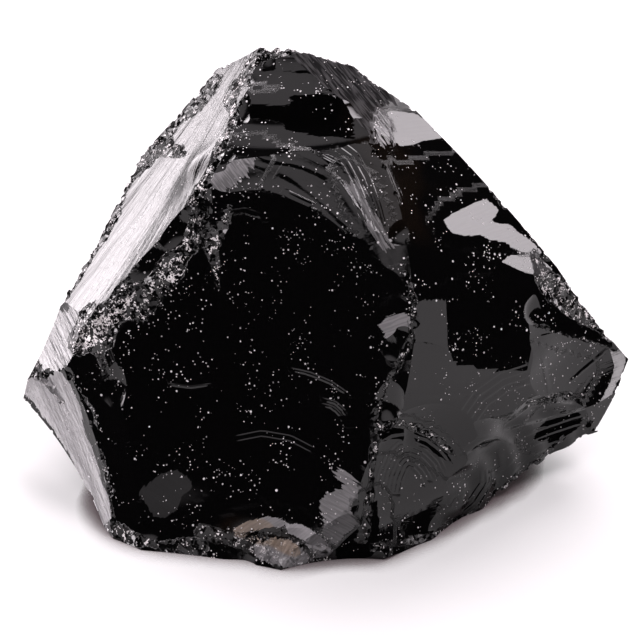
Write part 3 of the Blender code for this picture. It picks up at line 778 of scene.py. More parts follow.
class Scar:
    """One fracture surface, as heights over the plane of its three corners."""

    def __init__(self, name, number, points, heart):
        corners, bend_along, bend_across, reach = SCARS[name]
        first, second, third = [points[c] for c in corners]
        self.name = name
        self.number = number
        self.middle = (first + second + third) / 3
        along = (second - first).normalized()
        out = along.cross(third - first).normalized()
        if out.dot(self.middle - heart) < 0:
            out.negate()
        self.axes = np.array((along, out.cross(along), out))
        self.reach = [side * MM for side in reach]
        self.bends = (bend_along * MM, bend_across * MM)
        flat = [self.flatten(p)[:2] for p in (first, second, third)]
        rows = np.array([(1.0, a, b) for a, b in flat])
        sags = np.array([self.bowl(a, b) for a, b in flat])
        self.level, self.tilt_a, self.tilt_b = np.linalg.solve(rows, sags)
        self.struck = self.struck_point()
        self.swellings = [self.swelling(*s[1:]) for s in SWELLINGS.values() if s[0] == name]

    def spread(self, places):
        """Distances along and across and heights over the plane, one row for each place."""
        return (places - np.array(self.middle)) @ self.axes.T

    def flatten(self, point):
        return self.spread(np.array([point]))[0]

    def struck_point(self):
        """Where the blow fell that took this flake off, along and across."""
        if self.name in RIPPLES:
            return self.flatten(break_point(*RIPPLES[self.name][0], 0.0))[:2]
        if self.name in BLOWS:
            return self.flatten(break_point(*BLOWS[self.name], 0.0))[:2]
        return np.array((-self.reach[0], 0.0))

    def bowl(self, a, b):
        return a * a / (2 * self.bends[0]) + b * b / (2 * self.bends[1])

    def ripple(self, a, b):
        if self.name not in RIPPLES:
            return 0.0
        _, spacing, height = RIPPLES[self.name]
        radius = np.hypot(a - self.struck[0], b - self.struck[1]) / (spacing * MM)
        return height * MM / 2 * np.sin(math.tau * radius)

    def swelling(self, middle, halves, turn, height):
        """The middle, half sizes, turn and height of a swelling, in this scar's own plane."""
        centre = self.flatten(break_point(*middle, 0.0))
        across, up = middle
        tip = self.flatten(break_point(across + 1.0, up + math.tan(math.radians(turn)), 0.0))
        angle = math.atan2(tip[1] - centre[1], tip[0] - centre[0])
        return centre, [half * MM for half in halves], angle, height * MM

    def swell(self, a, b):
        total = 0.0
        for centre, halves, angle, height in self.swellings:
            x, y = a - centre[0], b - centre[1]
            long = (x * math.cos(angle) + y * math.sin(angle)) / halves[0]
            wide = (y * math.cos(angle) - x * math.sin(angle)) / halves[1]
            total = total + height * np.exp(-(long**2) - wide**2)
        return total

    def heights(self, a, b):
        plane = self.level + self.tilt_a * a + self.tilt_b * b
        return self.bowl(a, b) - plane + self.ripple(a, b) + self.swell(a, b)

    def waves(self, a, b):
        """Slight unevenness of the surface."""
        height, wavelength = WAVES.get(self.name, PLAIN_WAVES)
        places = np.column_stack((a, b, np.zeros_like(a)))
        return height * MM * noise_at(places, wavelength * MM, self.number)

    def keeps(self, places):
        """Which of many places the cut leaves standing."""
        a, b, height = self.spread(places).T
        back, ahead, right, left = self.reach
        aside = (a <= -back) | (a >= ahead) | (b <= -right) | (b >= left)
        return aside | (height < self.heights(a, b))

    def fracture_map(self, a, b):
        """Distance from the blow and distance round it, in millimetres."""
        x, y = a - self.struck[0], b - self.struck[1]
        radius = np.hypot(x, y)
        usual = max(np.hypot(*self.struck), LEAST_THROW)
        angle = np.arctan2(y * -self.struck[0] - x * -self.struck[1],
                           x * -self.struck[0] + y * -self.struck[1])
        return np.column_stack((radius, angle * usual)) / MM + MAP_SHIFT * self.number

    def matrix(self):
        turn = Matrix([Vector(axis) for axis in self.axes]).transposed().to_4x4()
        return Matrix.Translation(self.middle) @ turn


def find_span(scar, others, hull):
    """How far a cutter has to go each way to meet whatever stands over this scar's surface."""
    back, ahead, right, left = scar.reach
    a, b = np.meshgrid(
        np.arange(-back, ahead, SEARCH_STEP), np.arange(-right, left, SEARCH_STEP), indexing="ij"
    )
    a, b = a.ravel(), b.ravel()
    base = scar.heights(a, b)
    used = np.zeros(len(a), dtype=bool)
    for rise in SEARCH_RISES:
        flat = np.column_stack((a, b, base + rise * MM))
        places = flat @ scar.axes + np.array(scar.middle)
        inside = hull(places)
        for other in others:
            inside &= other.keeps(places)
        used |= inside
    if not used.any():
        raise RuntimeError(f"the scar {scar.name} takes nothing off")
    a, b = a[used], b[used]
    return (
        min(back, SEARCH_MARGIN - a.min()),
        min(ahead, SEARCH_MARGIN + a.max()),
        min(right, SEARCH_MARGIN - b.min()),
        min(left, SEARCH_MARGIN + b.max()),
    )


def surface_depth(across, up, scars):
    """How far out of the break frame the chunk's front stands at a place, in millimetres."""
    low, high = DEPTH_RANGE
    for _ in range(DEPTH_HALVINGS):
        middle = (low + high) / 2
        place = np.array([break_point(across, up, middle)])
        if all(scar.keeps(place)[0] for scar in scars):
            low = middle
        else:
            high = middle
    return low


def surface_slope(across, up, scars, turn_across, turn_up):
    """How steeply the front rises across or up the break frame, over the span of a chip."""
    step_across, step_up = SLOPE_SPAN * turn_across, SLOPE_SPAN * turn_up
    ahead = surface_depth(across + step_across, up + step_up, scars)
    behind = surface_depth(across - step_across, up - step_up, scars)
    return max(-STEEPEST, min(STEEPEST, (ahead - behind) / (2 * SLOPE_SPAN)))


def chip_centre(name, scars):
    """The middle of the ball that bites squarely into the front at one place."""
    across, up, radius, bite = CHIPS[name]
    slope_across = surface_slope(across, up, scars, 1, 0)
    slope_up = surface_slope(across, up, scars, 0, 1)
    square = Vector((-slope_across, -slope_up, 1)).normalized() * (radius - bite)
    depth = surface_depth(across, up, scars)
    return break_point(across + square.x, up + square.y, depth + square.z)


# Mesh work


def read(items, name, width=1, kind=float):
    """A value of every item of a mesh, or a row of values where an item has more than one."""
    values = np.empty(width * len(items), dtype=kind)
    items.foreach_get(name, values)
    return values.reshape(-1, width) if width > 1 else values


def write(mesh, name, kind, domain, values):
    """Writes a new attribute on a mesh."""
    layer = mesh.attributes.new(name, kind, domain)
    field = "vector" if kind == "FLOAT_VECTOR" else "value"
    number = np.int32 if kind == "INT" else np.float32
    layer.data.foreach_set(field, values.astype(number).ravel())


def get_places(mesh):
    return read(mesh.vertices, "co", 3)


def set_places(mesh, places):
    mesh.vertices.foreach_set("co", places.ravel())
    mesh.update()


def select_only(*chosen):
    """Selects these objects alone, and makes the first of them the active one."""
    bpy.ops.object.select_all(action="DESELECT")
    for obj in chosen:
        obj.select_set(True)
    bpy.context.view_layer.objects.active = chosen[0]


def edit(obj, *steps):
    """Runs modelling steps on one object in edit mode."""
    select_only(obj)
    bpy.ops.object.mode_set(mode="EDIT")
    for step in steps:
        step()
    bpy.ops.object.mode_set(mode="OBJECT")


def number_faces(mesh, number, flat=None):
    """Writes on every face which scar it belongs to, and on its corners where it lies."""
    write(mesh, "scar", "INT", "FACE", np.full(len(mesh.polygons), number))
    layer = mesh.uv_layers.new(name="fracture", do_init=False)
    if flat is None:
        places = get_places(mesh) / MM
        flat = places[:, :2] + places[:, 2:] * PLAIN_LEAN
    corners = read(mesh.loops, "vertex_index", kind=np.int32)
    layer.data.foreach_set("uv", flat[corners].ravel().astype(np.float32))


def raise_walls():
    """Pulls the rim of a grid straight up into walls, and closes them with a lid."""
    bpy.ops.mesh.select_mode(type="EDGE")
    bpy.ops.mesh.select_all(action="DESELECT")
    bpy.ops.mesh.select_non_manifold()
    bpy.ops.mesh.extrude_region_move(TRANSFORM_OT_translate={"value": (0, 0, TRAY_HEIGHT)})
    bpy.ops.transform.resize(value=(1, 1, 0))
    bpy.ops.mesh.edge_face_add()
    bpy.ops.mesh.select_all(action="SELECT")
    bpy.ops.mesh.normals_make_consistent(inside=False)


def wrap_corners():
    """Wraps loose vertices in their hull."""
    bpy.ops.mesh.select_all(action="SELECT")
    bpy.ops.mesh.convex_hull(delete_unused=True)
    bpy.ops.mesh.select_all(action="SELECT")
    bpy.ops.mesh.normals_make_consistent(inside=False)


def make_stock(points, heart):
    """The hull of all the corners, grown a little, for the scars to cut down to size."""
    mesh = bpy.data.meshes.new(PIECE)
    mesh.from_pydata([heart + (p - heart) * STOCK_GROWTH for p in points.values()], [], [])
    stock = bpy.data.objects.new(PIECE, mesh)
    bpy.context.scene.collection.objects.link(stock)
    edit(stock, wrap_corners)
    number_faces(stock.data, 0)
    return stock


def inside_test(mesh):
    """A test of whether places lie within a convex mesh."""
    normals = np.array([p.normal for p in mesh.polygons])
    levels = np.array([p.normal.dot(mesh.vertices[p.vertices[0]].co) for p in mesh.polygons])
    return lambda places: np.all(places @ normals.T < levels, axis=1)


def tray(scar, step):
    """A cutter whose underside is the scar's surface and whose walls go up clear of the stock."""
    back, ahead, right, left = scar.span
    size = (back + ahead, right + left)
    cells = [max(LEAST_CELLS, round(length / step)) for length in size]
    bpy.ops.object.select_all(action="DESELECT")
    bpy.ops.mesh.primitive_grid_add(
        x_subdivisions=cells[0], y_subdivisions=cells[1], size=1, calc_uvs=False
    )
    cutter = bpy.context.object
    places = get_places(cutter.data)
    a = (places[:, 0] + 0.5) * size[0] - back
    b = (places[:, 1] + 0.5) * size[1] - right
    set_places(cutter.data, np.column_stack((a, b, scar.heights(a, b) + scar.waves(a, b))))
    number_faces(cutter.data, scar.number, scar.fracture_map(a, b))
    edit(cutter, raise_walls)
    cutter.matrix_world = scar.matrix()
    return cutter


def ball(place, radius, detail, squash, turn, roughness, seed):
    """A rough ball that a chip is bitten out with."""
    bpy.ops.object.select_all(action="DESELECT")
    bpy.ops.mesh.primitive_ico_sphere_add(
        subdivisions=detail, radius=1, location=(0, 0, 0), calc_uvs=False
    )
    chip = bpy.context.object
    spots = get_places(chip.data)
    uneven = 1 + roughness * noise_at(spots, BALL_WAVES, seed)
    spots = spots * uneven[:, None] * np.array(squash)
    spots = spots @ np.array(turn.to_matrix()).T * radius + np.array(place)
    set_places(chip.data, spots)
    number_faces(chip.data, CHIP_NUMBER)
    return chip


def cut(body, cutter):
    """Takes a cutter's shape out of the body, and throws the cutter away."""
    select_only(body)
    modifier = body.modifiers.new("cut", "BOOLEAN")
    modifier.operation = "DIFFERENCE"
    modifier.solver = "MANIFOLD"
    modifier.object = cutter
    bpy.ops.object.modifier_apply(modifier=modifier.name)
    bpy.data.meshes.remove(cutter.data)
    if not len(body.data.polygons):
        raise RuntimeError("a cut left nothing of the chunk")


def knap(sizes):
    """Cuts every scar and every large chip out of the stock."""
    points = corner_points()
    heart = row_point(*HEART)
    scars = [Scar(name, number, points, heart) for number, name in enumerate(SCARS, start=1)]
    body = make_stock(points, heart)
    hull = inside_test(body.data)
    for scar in scars:
        scar.span = find_span(scar, [other for other in scars if other is not scar], hull)
    for scar in scars:
        step = sizes.back_step if scar.name.startswith(BACK_STARTS) else sizes.front_step
        cut(body, tray(scar, step))
    for seed, (name, (_, _, radius, _)) in enumerate(CHIPS.items()):
        centre, turn = chip_centre(name, scars), Euler((seed, 2 * seed, 0))
        chip = ball(centre, radius * MM, CHIP_DETAIL, (1, 1, 1), turn, CHIP_ROUGHNESS, seed)
        cut(body, chip)
    return body


def cut_rest_face(body):
    """Cuts the flat face that the chunk rests on."""
    bpy.ops.object.select_all(action="DESELECT")
    bpy.ops.mesh.primitive_cube_add(size=2 * TRAY_HEIGHT, location=(0, 0, -TRAY_HEIGHT))
    block = bpy.context.object
    number_faces(block.data, REST_NUMBER)
    cut(body, block)


# Ridges


def edge_ends(mesh):
    """The two vertices of every edge."""
    return read(mesh.edges, "vertices", 2, np.int32)


def corner_faces(mesh):
    """The face that every corner belongs to."""
    totals = read(mesh.polygons, "loop_total", kind=np.int32)
    return np.repeat(np.arange(len(mesh.polygons)), totals)


def edge_faces(mesh):
    """The two faces on either side of every edge."""
    edges = read(mesh.loops, "edge_index", kind=np.int32)
    faces = corner_faces(mesh)
    order = np.argsort(edges, kind="stable")
    starts = np.searchsorted(edges[order], np.arange(len(mesh.edges)))
    ends = np.searchsorted(edges[order], np.arange(len(mesh.edges)), side="right") - 1
    return np.column_stack((faces[order[starts]], faces[order[ends]]))


def bent_edges(mesh, sides, least):
    """Which edges have faces that turn by at least this many degrees."""
    normals = read(mesh.polygons, "normal", 3)
    turn = np.einsum("ij,ij->i", normals[sides[:, 0]], normals[sides[:, 1]])
    return turn < math.cos(math.radians(least))


def to_line(spots, line):
    """For many flat places, the signed distance to the nearest stretch of a line, positive on its
    left, and how far along the line that is. Then the line's length, and the third figure of its
    points, read off at each place."""
    line = np.array(line, dtype=float)
    nearest = np.full(len(spots), np.inf)
    signed, reached, third = np.zeros((3, len(spots)))
    travelled = 0.0
    for start, end in zip(line[:-1], line[1:]):
        step = end[:2] - start[:2]
        length = np.hypot(*step)
        offset = spots - start[:2]
        share = np.clip(offset @ step / length**2, 0, 1)
        away = np.linalg.norm(offset - share[:, None] * step, axis=1)
        side = np.sign(step[0] * offset[:, 1] - step[1] * offset[:, 0])
        closer = away < nearest
        nearest = np.where(closer, away, nearest)
        signed = np.where(closer, away * side, signed)
        reached = np.where(closer, travelled + share * length, reached)
        if len(start) > 2:
            third = np.where(closer, start[2] + share * (end[2] - start[2]), third)
        travelled += length
    return signed, reached, travelled, third


def zone_strength(places, zones):
    """How strong the zones are at each place, from 0 to their strongest."""
    spots = break_places(places)
    reached = np.clip(1 + (spots[:, 2] + ZONE_DEPTH) / ZONE_FADE, 0, 1)
    spots = spots[:, :2]
    strength = np.zeros(len(places))
    uneven = noise_at(places, ZONE_WAVELENGTH)
    for most, chain in zones.values():
        away, _, _, half_width = to_line(spots, chain)
        half_width = half_width * (1 + ZONE_UNEVENNESS * uneven)
        strength = np.maximum(strength, most * np.exp(-((away / half_width) ** 4)))
    return strength * reached


def ridge_spots(mesh):
    """Middles and lengths of the sharp ridges between scars, and which way is out there."""
    sides = edge_faces(mesh)
    sharp = bent_edges(mesh, sides, RIDGE_BEND)
    ends, sides = edge_ends(mesh)[sharp], sides[sharp]
    places = get_places(mesh)
    normals = read(mesh.polygons, "normal", 3)
    middles = places[ends].mean(axis=1)
    lengths = np.linalg.norm(places[ends[:, 0]] - places[ends[:, 1]], axis=1)
    out = normals[sides[:, 0]] + normals[sides[:, 1]]
    out /= np.linalg.norm(out, axis=1)[:, None]
    return middles, lengths, out


def draw_chips(mesh, sizes):
    """Small chips along the ridges, most of them where the edges are crushed: the middle, the
    radius, the flatness, the turn and the unevenness of each one's ball."""
    middles, lengths, out = ridge_spots(mesh)
    strength = zone_strength(middles, CRUSHED)
    weight = lengths * (STRAY_CHIPS + strength) * (middles[:, 2] > CHIP_CLEARANCE)
    draw = np.random.default_rng(sizes.seed)
    share = weight / weight.sum()
    for index in draw.choice(len(middles), size=sizes.small_chips, replace=False, p=share):
        growth = CHIP_GROWTH[0] + CHIP_GROWTH[1] * strength[index]
        radius = sizes.chip_radius * draw.uniform(*CHIP_SIZES) * growth
        place = middles[index] + out[index] * radius * draw.uniform(*CHIP_STANDS)
        squash = (1, draw.uniform(*CHIP_WIDTHS), draw.uniform(*CHIP_HEIGHTS))
        turn = Euler(draw.uniform(0, math.tau, 3))
        yield place, radius, squash, turn, draw.uniform(0, CHIP_PATTERNS)


def sort_apart(chips):
    """Sorts chips into batches in which none touches another."""
    batches = []
    for chip in chips:
        place, radius = chip[:2]
        for batch in batches:
            if all(np.linalg.norm(place - other[0]) > CHIP_GAP * (radius + other[1]) for other in batch):
                batch.append(chip)
                break
        else:
            batches.append([chip])
    return batches


def crush_ridges(body, sizes):
    """Breaks small chips out of the ridges, one batch after another."""
    for batch in sort_apart(draw_chips(body.data, sizes)):
        chips = [
            ball(place, radius, SMALL_CHIP_DETAIL, squash, turn, SMALL_CHIP_ROUGHNESS, seed)
            for place, radius, squash, turn, seed in batch
        ]
        select_only(*chips)
        if len(chips) > 1:
            bpy.ops.object.join()
        cut(body, chips[0])


def loose_vertices(mesh):
    """Which vertices don't belong to the biggest body."""
    group = np.arange(len(mesh.vertices))
    first, second = edge_ends(mesh).T
    while True:
        before = group.copy()
        lowest = np.minimum(group[first], group[second])
        np.minimum.at(group, first, lowest)
        np.minimum.at(group, second, lowest)
        group = group[group]
        if (group == before).all():
            break
    labels, counts = np.unique(group, return_counts=True)
    return group != labels[counts.argmax()]


def drop_crumbs(body):
    """Throws away crumbs that the cuts left loose."""
    mesh = body.data
    loose = loose_vertices(mesh)
    if not loose.any():
        return
    mesh.vertices.foreach_set("select", loose)
    mesh.edges.foreach_set("select", loose[edge_ends(mesh)].all(axis=1))
    mesh.polygons.foreach_set("select", np.array([loose[p.vertices[0]] for p in mesh.polygons]))
    edit(body, lambda: bpy.ops.mesh.delete(type="VERT"))


def set_creases(body):
    """Shades every scar smooth within itself, and keeps the ridges between them sharp."""
    mesh = body.data
    scar_of = read(mesh.attributes["scar"].data, "value", kind=np.int32)
    sides = edge_faces(mesh)
    parted = scar_of[sides[:, 0]] != scar_of[sides[:, 1]]
    creased = parted & bent_edges(mesh, sides, PARTED_BEND) | bent_edges(mesh, sides, CREASE_BEND)
    mesh.polygons.foreach_set("use_smooth", np.ones(len(mesh.polygons), dtype=bool))
    sharp = mesh.attributes.get("sharp_edge") or mesh.attributes.new("sharp_edge", "BOOLEAN", "EDGE")
    sharp.data.foreach_set("value", creased)
    mesh.update()


# Marks on the mesh that the glass reads


def corner_facts(mesh):
    """Where every corner of every face lies across and up the break frame, and its scar."""
    vertices = read(mesh.loops, "vertex_index", kind=np.int32)
    scar_of = read(mesh.attributes["scar"].data, "value", kind=np.int32)
    return break_places(get_places(mesh))[vertices][:, :2], scar_of[corner_faces(mesh)]


def depth_inside(spots, outline):
    """How far each place is inside an outline, negative outside it."""
    nearest = np.full(len(spots), np.inf)
    inside = np.zeros(len(spots), dtype=bool)
    for start, end in zip(outline, outline[1:] + outline[:1]):
        start, end = np.array(start), np.array(end)
        along = end - start
        share = np.clip((spots - start) @ along / (along @ along), 0, 1)
        nearest = np.minimum(nearest, np.linalg.norm(spots - start - share[:, None] * along, axis=1))
        crosses = (start[1] > spots[:, 1]) != (end[1] > spots[:, 1])
        if crosses.any():
            reach = start[0] + (spots[:, 1] - start[1]) * along[0] / along[1]
            inside ^= crosses & (spots[:, 0] < reach)
    return np.where(inside, nearest, -nearest)


def scar_numbers():
    numbers = {name: number for number, name in enumerate(SCARS, start=1)}
    numbers["chip"] = CHIP_NUMBER
    return numbers


def mark_flakes(mesh):
    """Writes the thin flakes on the corners of the faces: how deep inside one each corner is,
    how frosted (the frost partly a painted sheen) and ragged it is, which way it faces, and where
    it lies along its teeth."""
    spots, scar_of = corner_facts(mesh)
    plain = read(mesh.corner_normals, "vector", 3)
    facing = plain.copy()
    sheet = np.array([(FAR_OUTSIDE, 0.0, 0.0)] * len(spots))
    layer = mesh.uv_layers["fracture"]
    fracture = read(layer.data, "uv", 2, np.float32)
    numbers = scar_numbers()
    for homes, (azimuth, elevation), evenness, frost_and_sheen, ragged, teeth, outline in FLAKES.values():
        here = np.isin(scar_of, [numbers[home] for home in homes])
        depth = np.full(len(spots), FAR_OUTSIDE)
        depth[here] = depth_inside(spots[here], outline)
        takes = (depth > sheet[:, 0]) & (depth > -FLAKE_MARGIN)
        way = np.array(direction(azimuth, elevation))
        facing[takes] = plain[takes] * (1 - evenness) + way * evenness
        sheet[takes, 0] = depth[takes]
        sheet[takes, 1:] = frost_and_sheen, ragged
        angle = math.radians(teeth)
        along = spots @ (math.cos(angle), math.sin(angle))
        across = spots @ (-math.sin(angle), math.cos(angle))
        fracture[takes] = np.column_stack((along, across))[takes]
    layer.data.foreach_set("uv", fracture.ravel())
    write(mesh, "flake", "FLOAT_VECTOR", "CORNER", sheet)
    write(mesh, "facing", "FLOAT_VECTOR", "CORNER", facing)


def mark_ridges(mesh):
    """Writes on every vertex how crushed and how smoky the glass is there, and how far off the
    nearest sharp ridge is, in millimetres."""
    places = get_places(mesh)
    ends = places[edge_ends(mesh)[bent_edges(mesh, edge_faces(mesh), RIDGE_BEND)]]
    spots = np.concatenate([ends[:, 0] + (ends[:, 1] - ends[:, 0]) * share for share in RIDGE_SHARES])
    tree = KDTree(len(spots))
    for index, spot in enumerate(spots):
        tree.insert(spot, index)
    tree.balance()
    away = np.array([tree.find(p)[2] for p in places]) / MM
    write(mesh, "ridge", "FLOAT", "POINT", np.minimum(away, RIDGE_REACH))
    write(mesh, "crush", "FLOAT", "POINT", zone_strength(places, CRUSHED))
    write(mesh, "smoky", "FLOAT", "POINT", zone_strength(places, SMOKY))


def mark_ledges(mesh):
    """Writes the ledges on the corners of the faces, by turns in some layers: how many steps off
    the first one each corner is, how high they are there, and how many there are."""
    spots, scar_of = corner_facts(mesh)
    layers = np.zeros((LEDGE_LAYERS, len(spots), 3))
    numbers = scar_numbers()
    for turn, (home, spacing, count, rise, line) in enumerate(LEDGES.values()):
        layer = layers[turn % LEDGE_LAYERS]
        here = np.flatnonzero(scar_of == numbers[home])
        away, reached, length, _ = to_line(spots[here], line)
        steps = away / spacing
        outside = np.maximum(steps - LEDGE_RISE, -(count - LEDGE_RISE) - steps) * spacing
        ends = np.clip(np.minimum(reached, length - reached) / LEDGE_FADE, 0, 1)
        strength = rise * np.clip(1 - outside / LEDGE_MARGIN, 0, 1) * ends
        takes = strength > layer[here, 1]
        facts = np.column_stack((steps, strength, np.full(len(here), count)))
        layer[here[takes]] = facts[takes]
    for number, layer in enumerate(layers):
        write(mesh, f"ledge_{number}", "FLOAT_VECTOR", "CORNER", layer)


def mark_grain(mesh):
    """Writes on the corners of the faces how strongly streaks and rings show."""
    _, scar_of = corner_facts(mesh)
    by_number = np.array([PLAIN_GRAIN + (0.0,)] * (CHIP_NUMBER + 1))
    for number, name in enumerate(SCARS, start=1):
        by_number[number, :2] = GRAIN.get(name, PLAIN_GRAIN)
    write(mesh, "grain", "FLOAT_VECTOR", "CORNER", by_number[scar_of])


# The glass


class Wire:
    """A number in a material, whose sums and products add Math nodes."""

    def __init__(self, recipe, socket):
        self.recipe = recipe
        self.socket = socket

    def maths(self, operation, first, second=None):
        values = {0: first} if second is None else {0: first, 1: second}
        node = self.recipe.node("ShaderNodeMath", {"operation": operation}, values)
        return self.recipe.wire(node, 0)

    def __add__(self, other):
        return self.maths("ADD", self, other)

    def __radd__(self, other):
        return self.maths("ADD", other, self)

    def __sub__(self, other):
        return self.maths("SUBTRACT", self, other)

    def __rsub__(self, other):
        return self.maths("SUBTRACT", other, self)

    def __mul__(self, other):
        return self.maths("MULTIPLY", self, other)

    def __rmul__(self, other):
        return self.maths("MULTIPLY", other, self)

    def either(self, other):
        return self.maths("MAXIMUM", self, other)

    def size(self):
        return self.maths("ABSOLUTE", self)

    def fraction(self):
        return self.maths("FRACT", self)

    def between(self, low, high):
        """0 below the low value and 1 above the high one, with a smooth change between them."""
        settings = {"interpolation_type": "SMOOTHSTEP", "clamp": True}
        values = {"Value": self, "From Min": low, "From Max": high}
        return self.recipe.wire(self.recipe.node("ShaderNodeMapRange", settings, values), 0)


class Recipe:
    """The nodes of one material, or of the world."""

    def __init__(self, home):
        home.use_nodes = True
        self.home = home
        self.tree = home.node_tree
        self.shader = self.tree.nodes.get("Principled BSDF")

    def node(self, kind, settings, values):
        """Adds a node: first its settings, then the values and links of its sockets."""
        made = self.tree.nodes.new(kind)
        for name, setting in settings.items():
            setattr(made, name, setting)
        for name, value in values.items():
            self.plug(made.inputs[name], value)
        return made

    def plug(self, socket, value):
        if isinstance(value, Wire):
            self.tree.links.new(value.socket, socket)
        elif isinstance(value, bpy.types.NodeSocket):
            self.tree.links.new(value, socket)
        else:
            socket.default_value = value

    def wire(self, node, output):
        return Wire(self, node.outputs[output])

    def attribute(self, name):
        node = self.node("ShaderNodeAttribute", {"attribute_name": name}, {})
        return self.wire(node, "Fac")

    def attributes(self, name):
        """The three numbers of a vector attribute."""
        node = self.node("ShaderNodeAttribute", {"attribute_name": name}, {})
        parts = self.node("ShaderNodeSeparateXYZ", {}, {"Vector": node.outputs["Vector"]})
        return [self.wire(parts, axis) for axis in ("X", "Y", "Z")]

    def vectors(self, operation, *values):
        """Vector maths on vectors, or on a vector and a number."""
        sockets = dict(enumerate(values))
        if operation == "SCALE":
            sockets = {0: values[0], "Scale": values[1]}
        return self.node("ShaderNodeVectorMath", {"operation": operation}, sockets)

    def scaled(self, vector, factor):
        return self.vectors("SCALE", vector, factor).outputs[0]

    def stretched(self, vector, factors):
        return self.vectors("MULTIPLY", vector, factors).outputs[0]

    def less(self, vector, other):
        return self.vectors("SUBTRACT", vector, other).outputs[0]

    def along(self, vector, other):
        return self.wire(self.vectors("DOT_PRODUCT", vector, other), "Value")

    def noise(self, vector, wavelength, detail, roughness=0.5):
        values = {
            "Vector": vector,
            "Scale": 1.0 / wavelength,
            "Detail": detail,
            "Roughness": roughness,
        }
        return self.wire(self.node("ShaderNodeTexNoise", {}, values), 0)

    def cells(self, vector, spacing):
        return self.node("ShaderNodeTexVoronoi", {}, {"Vector": vector, "Scale": 1.0 / spacing})

    def facets(self, vector, size):
        """Heights of small flat facets, each leaning its own way, in millimetres."""
        cells = self.cells(vector, size)
        offset = self.less(vector, self.scaled(cells.outputs["Position"], size))
        return self.along(offset, self.less(cells.outputs["Color"], (EVEN, EVEN, EVEN)))

    def specks(self, vector, spacing, size, share, density):
        """Small uneven specks, where the density is high. Their size is a share of the spacing."""
        cells = self.cells(vector, spacing)
        pick = self.node("ShaderNodeSeparateColor", {}, {"Color": cells.outputs["Color"]})
        large = self.wire(pick, 0) * size
        here = self.wire(pick, 1) + (density - EVEN) * SPECK_DRIFTING
        here = here.between(1 - share, 1 - share + SPECK_BLUR)
        bright = self.wire(pick, 2) * (1 - DULLEST_SPECK) + DULLEST_SPECK
        return (large - self.wire(cells, "Distance")).between(*SPECK_EDGE) * here * bright

    def mix(self, kind, sockets, values):
        """A Mix node of one kind, whose factor and two inputs have these numbers."""
        return self.node("ShaderNodeMix", {"data_type": kind}, dict(zip(sockets, values)))

    def mix_colour(self, factor, first, second):
        return self.mix("RGBA", (0, 6, 7), (factor, first, second)).outputs[2]

    def mix_vector(self, factor, first, second):
        mixed = self.mix("VECTOR", (0, 4, 5), (factor, first, second)).outputs[1]
        return self.vectors("NORMALIZE", mixed).outputs[0]


class Patterns:
    """What the parts of the glass share: how it varies from spot to spot."""

    def __init__(self, recipe):
        place = recipe.node("ShaderNodeTexCoord", {}, {}).outputs["Object"]
        self.place = recipe.scaled(place, 1 / MM)
        fracture = recipe.node("ShaderNodeUVMap", {"uv_map": "fracture"}, {}).outputs["UV"]
        self.crush = recipe.attribute("crush")
        self.ridge = recipe.attribute("ridge")
        self.smoky = recipe.attribute("smoky")
        self.broad = recipe.noise(self.place, *BROAD)
        self.fine = recipe.noise(self.place, *FINE)
        self.streaks, self.broad_streaks, self.hackles, self.rings = (
            recipe.noise(recipe.stretched(fracture, stretch), *waves)
            for stretch, waves in (STREAKS, BROAD_STREAKS, HACKLES, RINGS)
        )


def thin_flakes(recipe, seen):
    """Where the thin flakes are, with their ragged edges, and where they are frosted, the grey frost
    being partly a painted sheen.
    """
    depth, frosted_with_sheen, ragged = recipe.attributes("flake")
    teeth = seen.streaks + seen.hackles * TOOTH_HACKLES - TOOTH_MIDDLE
    flake = (depth + teeth * ragged * TOOTH_LENGTH).between(*SOFT_EDGE)
    comb = 1 - seen.hackles.between(*COMB)
    return flake, flake * frosted_with_sheen * (1 - comb * ragged * COMB_DEPTH)


def crushed_glass(seen):
    """Where the glass is crushed, along the edges most of all."""
    edge = 1 - seen.ridge.between(*EDGE_FADE)
    crushed = seen.crush + edge * (seen.crush + EDGE_CRUSH) * EDGE_SHARE
    crushed = crushed + (seen.fine - EVEN) * CRUSH_FINE + (seen.broad - EVEN) * CRUSH_BROAD
    return crushed.between(*CRUSHED_FROM)


def powder_and_painted_sparkle(recipe, seen, crushed):
    """Bright grains and short threads of powder, on crushed glass and fresh edges: partly real powder,
    partly painted sparkle, and a painted highlight along every ridge.
    """
    broken = recipe.noise(seen.place, *BROKEN)
    worst = (seen.crush - 1) * POWDER_CRUSH
    # Painted sparkle: bright grains on crushed glass, partly real powder.
    grains = recipe.noise(seen.place, *POWDER) + (broken - EVEN) * POWDER_BROKEN + worst
    threads = 1 - (recipe.noise(seen.place, *THREADS) - EVEN).size().between(*THREAD_HALF)
    threads = threads * (broken + worst).between(*THREADS_FROM)
    # Painted highlight: a thin bright line of grains along every sharp ridge.
    fresh_edge_highlight = (FRESH_EDGE_HIGHLIGHT_REACH - seen.ridge + (seen.fine - EVEN) * FRESH_EDGE_HIGHLIGHT_FINE).between(*SOFT_EDGE)
    return grains.between(*POWDER_FROM).either(threads) * crushed.either(fresh_edge_highlight)


def dust_specks(recipe, seen):
    """Specks of dust of three sizes, lying in drifts."""
    drift = recipe.noise(seen.place, *DRIFTS)
    usual = recipe.specks(seen.place, *USUAL_SPECKS, drift)
    large = recipe.specks(seen.place, *LARGE_SPECKS, seen.broad)
    small = recipe.specks(seen.place, *SMALL_SPECKS, drift)
    return usual.either(large).either(small)


def ledge_height(recipe, name, wobble):
    """The height of the ledges of one layer, in millimetres."""
    steps, rise, count = recipe.attributes(name)
    steps = steps + wobble
    phase = (steps + (1 - LEDGE_RISE)).fraction()
    step = phase.between(0, 1 - LEDGE_RISE) - phase.between(1 - LEDGE_RISE, 1)
    first = 1 - (steps - LEDGE_RISE).between(0, 0.02)
    last = (steps + count - LEDGE_RISE).between(-0.02, 0)
    return step * first * last * rise


